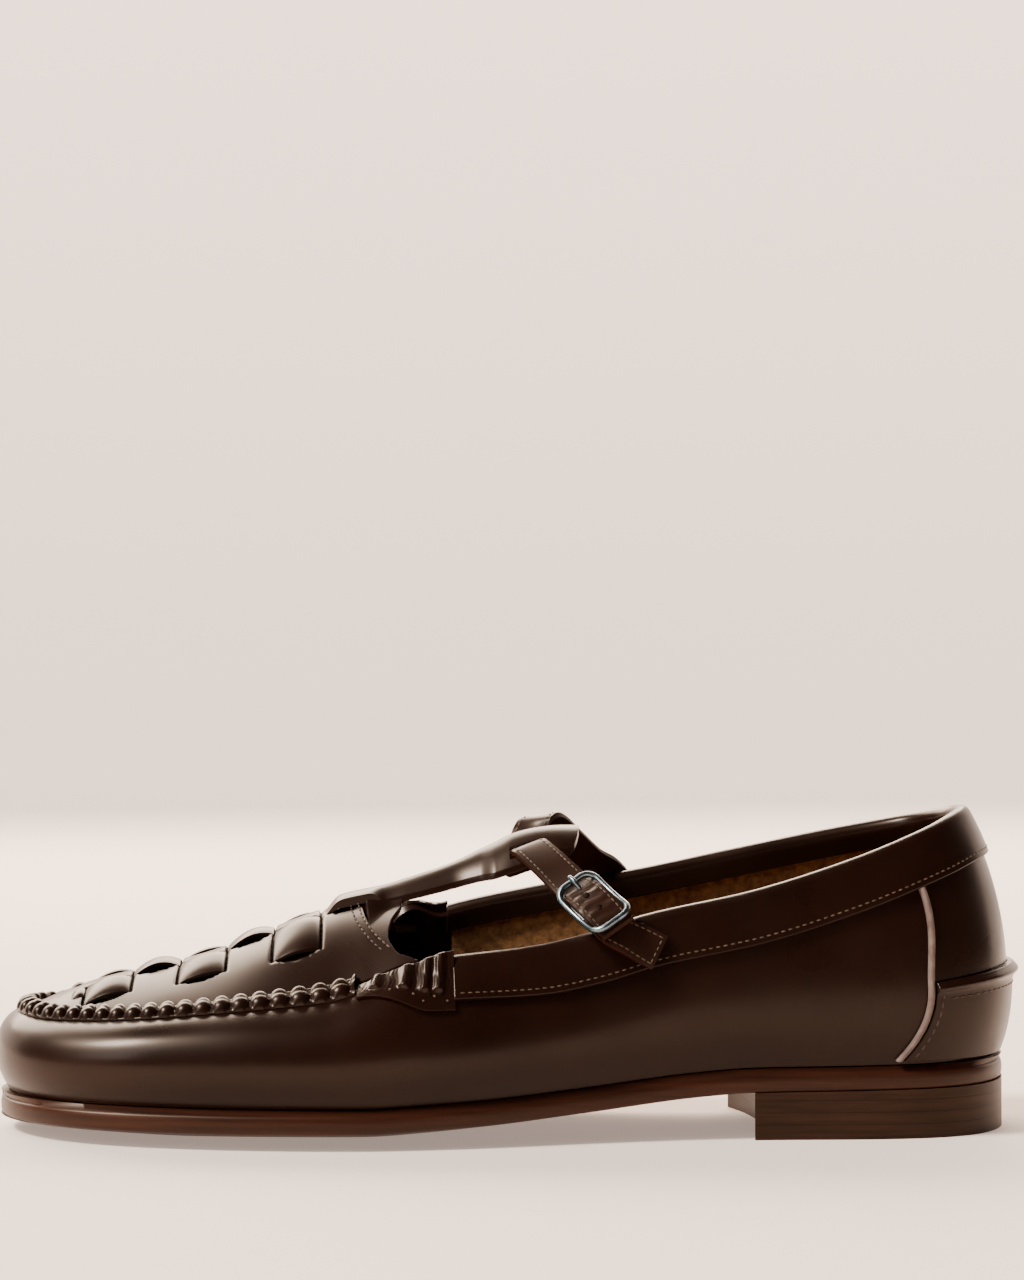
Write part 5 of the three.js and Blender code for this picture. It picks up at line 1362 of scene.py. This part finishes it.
# Rows of stitches on the upper
def wall_stitches(name, angle, level, out, pitch, size, thread):
    """Stitches along a line on the wall, given by angles, levels and a distance off the wall."""
    place, forward, at, length = evenly(off_wall(angle, level, out + 0 * level), pitch)
    facing = unit(along_path(at, length, wall_normal(angle, level)))
    finish_piece(stitches(name, place, facing, forward, *size, [thread]))


def make_wall_stitches():
    """Collar row 1.6 mm above the band's lower edge, and rows below the ridge and behind the piping."""
    angle = collar_angle(np.linspace(0.003, 0.997, 600))
    wall_stitches("collar_stitches", angle, level_below_edge(angle, BAND_DEPTH - 1.6),
                  CLEARANCE + BAND_THICKNESS, 1.9, (1.15, 0.42, 0.36), TAN_THREAD)
    counter, size, foot, top = CLEARANCE + COUNTER_THICKNESS, (1.7, 0.5, 0.4), PIPING_LEVELS[0], counter_top()
    start = float(piping_angle(np.array(top)))
    back = np.linspace(start + 0.06, TURN - start - 0.06, 300)
    wall_stitches("counter_stitches", back, np.full(300, foot + (top - foot) * 0.8), counter, 2.4, size,
                  DARK_THREAD)
    for medial, side in ((False, "lateral"), (True, "medial")):
        level = np.linspace(foot + 0.02, top * 0.86, 120)
        at = on_side(piping_angle(level) + angle_for_gap(level, PIPING_WIDTH / 2 + 2.2), medial)
        wall_stitches("counter_side_stitches_" + side, at, level, counter, 2.4, size, DARK_THREAD)


def make_apron_stitches():
    """Two rows beside the apron's rear edge: tan thread 0.7 mm in, dark thread 2.6 mm in."""
    step = 0.2
    for inset, word, thread in ((0.7, "outer", TAN_THREAD), (2.6, "inner", DARK_THREAD)):
        y = np.linspace(-27, 27, 300)
        x = apron_rear(y) - inset
        place, forward = evenly(xyz(x, y, apron_height(x, y) + 0.08), 2.0)[:2]
        x, y = place[:, 0], place[:, 1]
        dx = (apron_height(x + step, y) - apron_height(x - step, y)) / (2 * step)
        dy = (apron_height(x, y + step) - apron_height(x, y - step)) / (2 * step)
        facing = unit(xyz(-dx, -dy, 1 + 0 * dx))
        piece = stitches("apron_stitches_" + word, place, facing, forward, 1.4, 0.5, 0.5, [thread])
        finish_piece(piece)


# Studio
def make_backdrop():
    """Pale paper swept up behind the shoe, with a painted glow: it emits light itself, more with height."""
    made, tree, shader, where = material("paper backdrop, painted glow")
    height = add(tree, "ShaderNodeSeparateXYZ", Vector=where).outputs["Z"]
    # Painted glow: the paper emits light that grows with height, though no lamp lights it
    glow = add(tree, "ShaderNodeMapRange", Value=height, i1=0.0, i2=1.2, i3=0.45, i4=2.0)
    finish_shader(shader, Base_Color=linear("#e6d8d0"), Roughness=0.9, Specular_IOR_Level=0.1,
                  Emission_Color=linear("#f0d8c8"), Emission_Strength=glow.outputs[0])
    front, bend_start, bend, top, half_width = -9000, 2500, 1500, 5000, 9000
    turn = np.linspace(0.1, 1, 16) * math.pi / 2
    run = np.concatenate([np.linspace(front, bend_start, 12), bend_start + bend * np.sin(turn),
                          [bend_start + bend]])
    rise = np.concatenate([np.zeros(12), bend * (1 - np.cos(turn)), [top]])
    points = xyz(np.linspace(-half_width, half_width, 5)[None, :], run[:, None], rise[:, None])
    put("studio_sweep", points.reshape(-1, 3), grid_faces(len(run), 5)[:, ::-1], [made], None)


def light(name, kind, energy, towards, place=(0, 0, 0), colour="#ffffff", **settings):
    """A lamp at a place in metres, pointing along a direction."""
    lamp = bpy.data.lights.new(name, kind)
    lamp.energy = energy
    lamp.color = linear(colour)[:3]
    for key, value in settings.items():
        setattr(lamp, key, value)
    holder = bpy.data.objects.new(name, lamp)
    holder.location = place
    holder.rotation_euler = Vector(towards).to_track_quat("-Z", "Y").to_euler()
    bpy.context.scene.collection.objects.link(holder)


def make_studio():
    """The backdrop, a sun through a window at the left, a lit cloth above and behind, and one at the left."""
    make_backdrop()
    light("window", "SUN", 6.0, (1.15, 0.4, -1.4), colour="#fff4e8", angle=math.radians(14))
    light("cloth behind", "AREA", 72, (0.3, -1.2, -0.9), (-0.3, 1.2, 0.95), "#ffe8d0", shape="RECTANGLE",
          size=2.0, size_y=0.8)
    light("cloth at the left", "AREA", 7, (1.1, 0.75, -0.7), (-1.1, -0.75, 0.75), shape="RECTANGLE", size=0.5,
          size_y=0.9)
    world = bpy.data.worlds.new("dim room")
    world.use_nodes = True
    background = world.node_tree.nodes["Background"]
    background.inputs["Color"].default_value = linear("#cfc4bd")
    background.inputs["Strength"].default_value = 0.08
    bpy.context.scene.world = world


def make_camera():
    """Nearly level camera beside the shoe, aimed above it."""
    focal_pixels, image_height, sensor = 2964.0, 1280.0, 36.0
    yaw, pitch = math.radians(-2.6), math.radians(0.77)
    camera = bpy.data.cameras.new("camera")
    camera.lens = focal_pixels * sensor / image_height
    camera.sensor_width = sensor
    camera.clip_end = 50
    holder = bpy.data.objects.new("camera", camera)
    place = np.array([98.2, -780.0, 116.6]) - ORIGIN * np.array([1, 1, 0])
    holder.location = place * MM
    holder.rotation_euler = (math.pi / 2 + pitch, 0, yaw)
    bpy.context.scene.collection.objects.link(holder)
    bpy.context.scene.camera = holder


make_camera()
make_studio()
make_outsole()
make_heel()
make_insole()
make_upper()
make_apron()
make_weave()
make_moc_seam()
make_collar_band()
make_tab(False)
make_tab(True)
make_counter()
make_piping(False)
make_piping(True)
make_t_bar_base()
make_t_bar()
instep = make_strap("instep_strap_leather", INSTEP_STATIONS, 420, ["instep_strap"])
anchor = make_strap("anchor_strap_leather", ANCHOR_STATIONS, 140, ["anchor_strap"])
strap_stitches("instep_stitches", instep, 0.01, 0.99, TAN_THREAD)
strap_stitches("anchor_stitches", anchor, 0.03, 0.62, TAN_THREAD)
cross_stitches("anchor_cross_stitches", anchor, 0.05, TAN_THREAD)
make_buckle()
make_wall_stitches()
make_apron_stitches()
